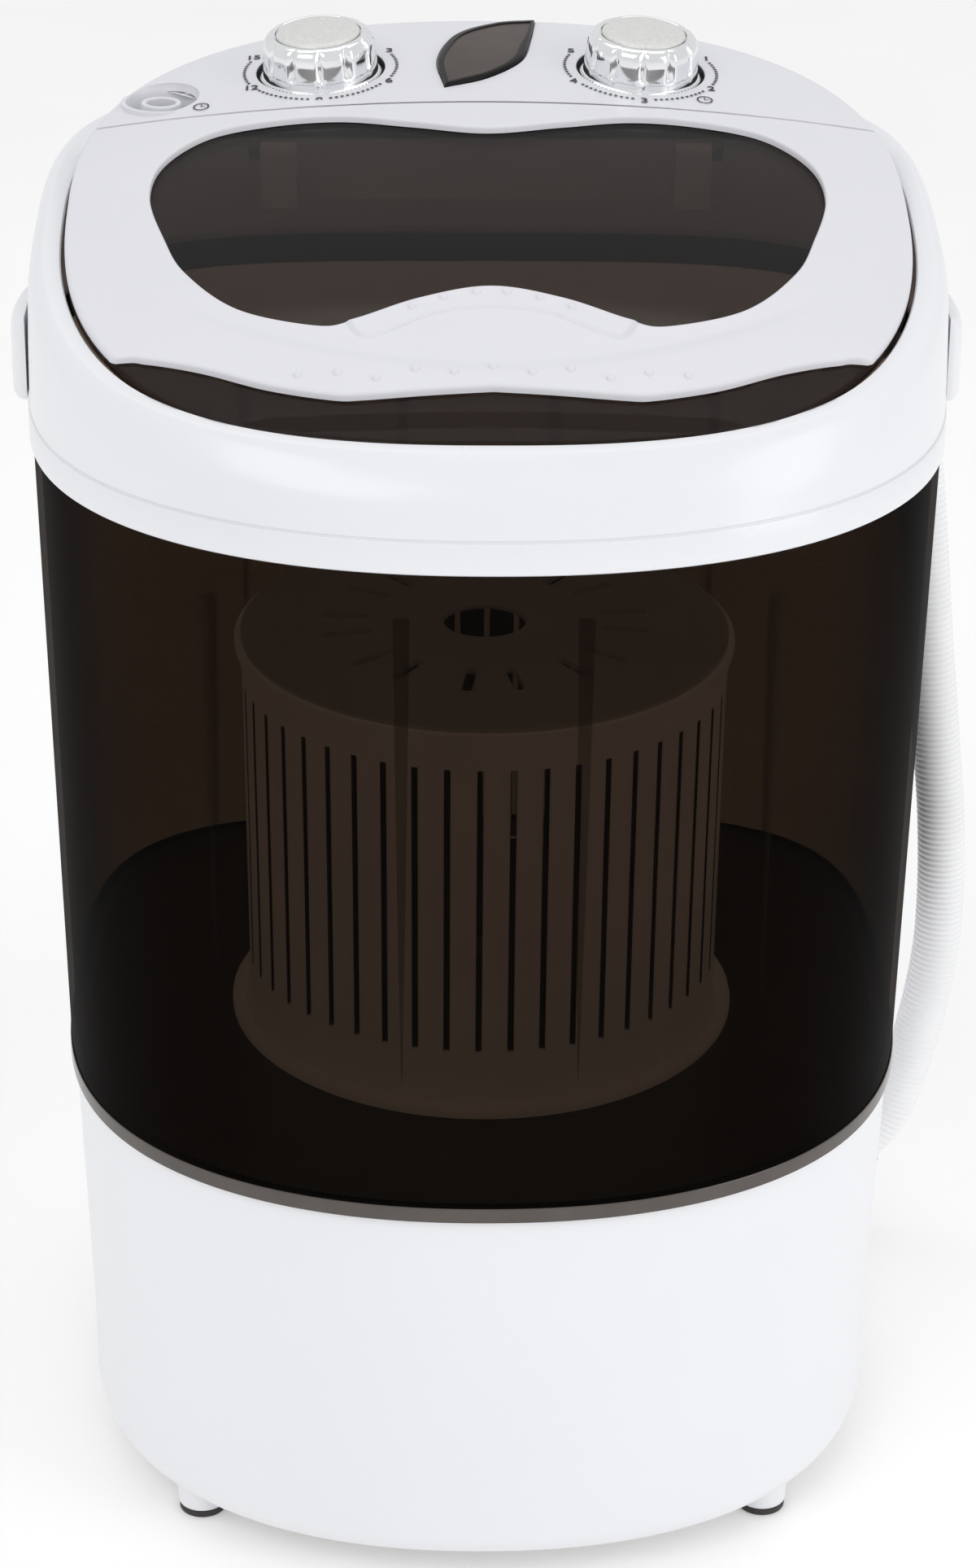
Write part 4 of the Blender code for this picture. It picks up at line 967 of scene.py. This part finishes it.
def knob(name, body):
    """A fluted chrome knob, as rows of radius, height and flute depth, and its pearl cap."""
    at = dial_frame(name)
    profile = [
        (0.0036, -0.0034, 0), (0.0242, -0.0034, 0), (0.0246, -0.003, 0), (0.0246, -0.0021, 0),
        (0.0243, -0.0016, 0), (0.0231, -0.0009, 0), (0.0229, -0.0004, 0), (0.0229, 0.0014, 0),
        (0.0229, 0.0024, 0.2), (0.0228, 0.0031, 0.7), (0.0227, 0.004, 1), (0.0224, 0.008, 1),
        (0.0221, 0.0112, 1), (0.0217, 0.0126, 0.9), (0.021, 0.0137, 0.7), (0.0201, 0.0146, 0.4),
        (0.0189, 0.0151, 0.1), (0.0178, 0.0152, 0), (0.0173, 0.0149, 0), (0.0171, 0.0142, 0),
        (0.0171, 0.013, 0), (0.0036, 0.013, 0), (0.0034, 0.011, 0), (0.0034, 0.0, 0),
    ]
    rings = [fluted(*row) for row in profile]
    piece(name + "_dial", loft(rings, True), "chrome", body, name + "_knob", 28.0, at)
    cap = [
        (0.003, 0.0134), (0.0166, 0.0134), (0.0168, 0.014), (0.0168, 0.015), (0.0164, 0.0156),
        (0.0155, 0.016), (0.0135, 0.01635), (0.01, 0.0166), (0.005, 0.0168), (0.001, 0.0168),
    ]
    piece(name + "_cap", turned(cap, 72), "pearl", body, name + "_knob_cap", at=at)


def printed(name, shapes, at, body="cabinet"):
    """Flat printed marks as one piece. Those on the cabinet lie a hair above the crowned top."""
    points, faces = [], []
    for pts, fcs in shapes:
        start = len(points)
        points += list(pts)
        faces += [tuple(start + i for i in face) for face in fcs]
    obj = mesh_object(name, points, faces)
    obj.data.transform(at)
    if body == "cabinet":
        for v in obj.data.vertices:
            v.co.z = dome(v.co.x, v.co.y) + MARK_LIFT
    obj.data.materials.append(M["ink"])
    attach(obj, body)


def scale_dot(radius, degrees, size):
    """A small square mark at an angle round the dial."""
    c, s, half = math.cos(math.radians(degrees)), math.sin(math.radians(degrees)), size / 2
    made = [(radius + a, b) for a, b in ((-half, -half), (half, -half), (half, half), (-half, half))]
    return [(x * c - y * s, x * s + y * c, 0.0) for x, y in made], [(0, 1, 2, 3)]


def digits(text, x, y):
    """A number as flat faces, centred on (x, y)."""
    data = bpy.data.curves.new("digits", "FONT")
    data.body = text
    data.size = NUMBER_SIZE
    data.align_x = "CENTER"
    data.align_y = "CENTER"
    data.offset = NUMBER_WEIGHT
    obj = bpy.data.objects.new("digits", data)
    scene.collection.objects.link(obj)
    bpy.context.view_layer.update()
    mesh = bpy.data.meshes.new_from_object(obj.evaluated_get(bpy.context.evaluated_depsgraph_get()))
    points = [(v.co.x + x, v.co.y + y, 0.0) for v in mesh.vertices]
    faces = [tuple(f.vertices) for f in mesh.polygons]
    bpy.data.objects.remove(obj)
    return points, faces


def ring_mark(radius, width, count=48):
    turns = even_angles(count)
    points = [(r * math.cos(t), r * math.sin(t), 0.0) for r in (radius, radius - width) for t in turns]
    return points, [(i, (i + 1) % count, count + (i + 1) % count, count + i) for i in range(count)]


def bar_mark(low_x, low_y, high_x, high_y):
    corners = ((low_x, low_y), (high_x, low_y), (high_x, high_y), (low_x, high_y))
    return [(x, y, 0.0) for x, y in corners], [(0, 1, 2, 3)]


def dial_marks(name, body):
    """Five numbers round the dial, a row of dots between each two, and a fine scale on its flange."""
    x, y = DIALS[name]
    marks = []
    for i, text in enumerate(SCALES[name]):
        start = FIRST_NUMBER - BETWEEN_NUMBERS * i
        t = math.radians(start)
        marks.append(digits(text, NUMBER_RADIUS * math.cos(t), NUMBER_RADIUS * math.sin(t)))
        for k in range(2, 13) if i < 4 else ():
            marks.append(scale_dot(SCALE_RADIUS, start - BETWEEN_NUMBERS * k / 14, SCALE_DOT))
    printed(name + "_marks", marks, Matrix.Translation((x, y, 0.0)))
    small = [scale_dot(FLANGE_RADIUS, -90 + k * FLANGE_STEP, FLANGE_DOT) for k in range(-26, 27)]
    printed(name + "_flange_marks", small, dial_frame(name) @ Matrix.Translation((0, 0, -0.0013)), body)


def clock_icon(name, x, y):
    """A plain clock sign: a ring and two hands."""
    hands = [bar_mark(-0.0002, 0.0, 0.0002, 0.0022), bar_mark(0.0, -0.0002, 0.0016, 0.0002)]
    printed(name, [ring_mark(0.0032, 0.0006)] + hands, Matrix.Translation((x, y, 0.0)))


# ---- the handles
HANDLE_X, HANDLE_HALF = 0.1764, 0.0205


def handles():
    """A shallow grip on each side, hollow from below, as rows of height and depth."""
    for name, side in (("left", -1), ("right", 1)):
        rings = []
        rows = [
            (0.4505, 0.005), (0.4508, 0.006), (0.4516, 0.0066), (0.46, 0.0067), (0.474, 0.0067),
            (0.4775, 0.0064),
        ]
        rows += [(0.48, 0.0056), (0.4818, 0.0043), (0.4829, 0.0028), (0.4835, 0.001)]
        for z, out in rows:
            turns = np.linspace(-0.5 * math.pi, 0.5 * math.pi, 41)[1:-1]
            curve = [(HANDLE_X + out * math.cos(t) ** 0.7, HANDLE_HALF * math.sin(t)) for t in turns]
            outline = [(0.1763, -HANDLE_HALF)] + curve + [(0.1763, HANDLE_HALF)]
            rings.append([(side * x, y, z) for x, y in outline])
        handle = piece(
            "grip_" + name, loft(rings), "white", "cabinet", "handle_" + name, 40.0
        )
        pocket = sorted((side * 0.177, side * 0.1802))
        combine(handle, solid(block((pocket[0], -0.012, 0.44), (pocket[1], 0.012, 0.47))))


# ---- inside the tub
BASKET_TURN = math.radians(2.0)
PANELS, BARS, PER_BAR = 8, 48, 10
BASKET_WALL, GROOVE_WIDTH, GROOVE_DEPTH, FLATNESS = 0.097, 0.0022, 0.0013, 0.0004
BASKET_FLOOR = 0.2005


def basket():
    """The spin basket: flat panels with grooves between, six slots in each, a rim, floor and flange.

    Its rows are radius, height, and the shares of a groove and of a flat there. The faces inside it and in
    its slots take a painted shade, a darker material that stands in for the shade they lie in.
    """
    count = BARS * PER_BAR
    angles = BASKET_TURN + even_angles(count)
    turn = 2 * math.pi / PANELS
    near = np.abs(((angles - BASKET_TURN) / turn + 0.5) % 1.0 - 0.5) * turn
    groove = np.exp(-((near * BASKET_WALL / GROOVE_WIDTH) ** 2))
    crown = np.cos(PANELS / 2 * (angles - BASKET_TURN)) ** 2
    outer = [
        (0.103, 0.18, 0, 0), (0.1035, 0.1804, 0, 0), (0.1035, 0.1824, 0.3, 0), (0.103, 0.1832, 0.5, 0),
        (0.099, 0.185, 1, 0.4),
        (0.0972, 0.189, 1, 0.7), (0.0965, 0.196, 1, 1), (0.0967, 0.2058, 1, 1), (0.0972, 0.27, 1, 1),
        (0.0978, 0.3294, 1, 1),
        (0.0979, 0.336, 0.8, 0.8), (0.098, 0.34, 0.2, 0.2), (0.0986, 0.3412, 0, 0), (0.0998, 0.3418, 0, 0),
        (0.1, 0.3424, 0, 0), (0.1, 0.3446, 0, 0), (0.0996, 0.345, 0, 0),
    ]
    inner = [
        (0.0949, 0.345, 0, 0), (0.0945, 0.3446, 0, 0), (0.0957, 0.3294, 0.2, 0.8), (0.0951, 0.27, 0.2, 1),
        (0.0946, 0.2058, 0.2, 1),
        (0.0938, 0.201, 0, 0.5), (0.0928, BASKET_FLOOR, 0, 0), (0.0063, BASKET_FLOOR, 0, 0),
        (0.0063, 0.1978, 0, 0), (0.0925, 0.1978, 0, 0), (0.0935, 0.188, 0, 0),
    ]
    inner += [(0.096, 0.184, 0, 0), (0.1005, 0.18, 0, 0)]
    rings = []
    for r, z, deep, flat in outer + inner:
        radius = r - deep * GROOVE_DEPTH * groove - flat * FLATNESS * crown
        rings.append(np.column_stack([radius * np.cos(angles), radius * np.sin(angles), np.full(count, z)]))
    points, faces = loft(rings, True)
    low, high = 7, 9
    inner_high, inner_low = len(outer) + 2, len(outer) + 4
    cut_rows = {*range(low, high), *range(inner_high, inner_low)}
    slot = [column % PER_BAR in (4, 5) for column in range(count)]
    kept = [face for face in faces if face[0] // count not in cut_rows or not slot[face[0] % count]]
    for column in range(count):
        if not slot[column]:
            continue
        nxt = (column + 1) % count
        for a, b in ((low, inner_low), (high, inner_high)):
            kept.append((a * count + column, a * count + nxt, b * count + nxt, b * count + column))
        edge = column if column % PER_BAR == 4 else nxt
        for step in range(high - low):
            a, b = low + step, inner_low - step
            kept.append(tuple(row * count + edge for row in (a, a + 1, b - 1, b)))
    # Painted light: the basket's cream material glows faintly, standing in for light that reaches it through
    # the tub.
    drum = piece("spin_basket", (points, kept), "basket", "drum", "basket", 40.0)
    # Painted shade: the inner wall, the floor and the slot sides take a second, darker material in place of
    # the shade inside the basket.
    drum.data.materials.append(M["painted_shade"])
    for face in drum.data.polygons:
        away = math.hypot(face.center.x, face.center.y)
        outward = (face.normal.x * face.center.x + face.normal.y * face.center.y) / away
        floor = face.normal.z > 0.5 and face.center.z < 0.202 and away < 0.0946
        if floor or (outward < 0.3 and abs(face.normal.z) < 0.5):
            face.material_index = 1


def basket_cover():
    """The cover, with two slots over each panel."""
    profile = [
        (0.0976, 0.3453), (0.0976, 0.3468), (0.097, 0.3475), (0.096, 0.3476), (0.095, 0.347), (0.09, 0.3478),
        (0.055, 0.3489), (0.02, 0.35), (0.0172, 0.35),
    ]
    profile += [(0.0165, 0.3495), (0.0165, 0.3476), (0.09, 0.3456), (0.0935, 0.3453)]
    # Painted light: the cover's material glows faintly.
    cover = piece("spin_cover", turned(profile, 144, True), "cover", "drum", "basket_cover")
    outline = [
        (0.047, -0.0022), (0.065, -0.0022), (0.066, -0.0012), (0.066, 0.0012), (0.065, 0.0022),
        (0.047, 0.0022), (0.046, 0.0012), (0.046, -0.0012),
    ]
    for i in range(2 * PANELS):
        angle = BASKET_TURN + (i // 2) * math.pi / 4 + (0.16 if i % 2 else -0.16)
        at = Matrix.Rotation(angle, 4, "Z")
        combine(cover, solid(prism(outline, 0.34, 0.355), at))


def pulsator():
    """The washing disc under the basket's floor, with four fins."""
    profile = [
        (0.0734, 0.1812), (0.075, 0.1816), (0.0752, 0.183), (0.0742, 0.1842), (0.07, 0.1856), (0.05, 0.1868),
        (0.03, 0.1876), (0.024, 0.19),
        (0.0206, 0.1945), (0.0196, 0.1955), (0.0034, 0.1955), (0.0034, 0.1908), (0.0063, 0.1903),
        (0.0063, 0.1812),
    ]
    # Painted shade: the disc takes the basket's dark shade material, as it lies in shade under the floor.
    disc = piece("wash_disc", turned(profile, 96, True), "painted_shade", "drum", "pulsator")
    for i in range(4):
        fin = [(0.015, 0.185), (0.068, 0.184), (0.066, 0.188), (0.06, 0.1902), (0.03, 0.1925), (0.02, 0.194)]
        combine(disc, solid(across(fin, -0.003, 0.003), Matrix.Rotation(i * math.pi / 2, 4, "Z")), "UNION")


def cad_finishes():
    """The CAD pieces that stay as they are, each with its own procedural finish."""
    kinds = {
        "steel": "drive_shaft motor_shaft pulley_nut pulsator_screw hinge_pin_left hinge_pin_right "
        "hose_clamp bearing_upper bearing_lower",
        "brass": "wash_timer_shaft spin_timer_shaft",
        "sheet": "motor_body motor_plate",
        "pearl": "capacitor",
        "cast": "drive_pulley motor_pulley bearing_housing",
        "grey": "base_plate wash_timer spin_timer motor_fan drain_elbow",
        "housing": "timer_housing",
        "hose": "hose_cuff",
        "white": "hose_hook",
        "rubber": "motor_mount_1 motor_mount_2 motor_mount_3 motor_mount_4 drive_belt shaft_seal "
        "cord_gland",
    }
    for kind, names in kinds.items():
        for name in names.split():
            for slot in nodes[name].material_slots:
                slot.material = M[kind]


M = make_materials()
make_camera()
make_stage()
scene.view_settings.view_transform = "Standard"
make_hose()
base_shell()
feet()
tub()
collar()
console()
leaf_window()
inlet()
lid_frame()
lid_panel()
for dial, rotor in (("wash", "wash_dial"), ("spin", "spin_dial")):
    knob(dial, rotor)
    dial_marks(dial, rotor)
clock_icon("clock_left", -0.112, 0.069)
clock_icon("clock_right", 0.0866, 0.0716)
handles()
basket()
basket_cover()
pulsator()
cad_finishes()
bpy.context.view_layer.update()
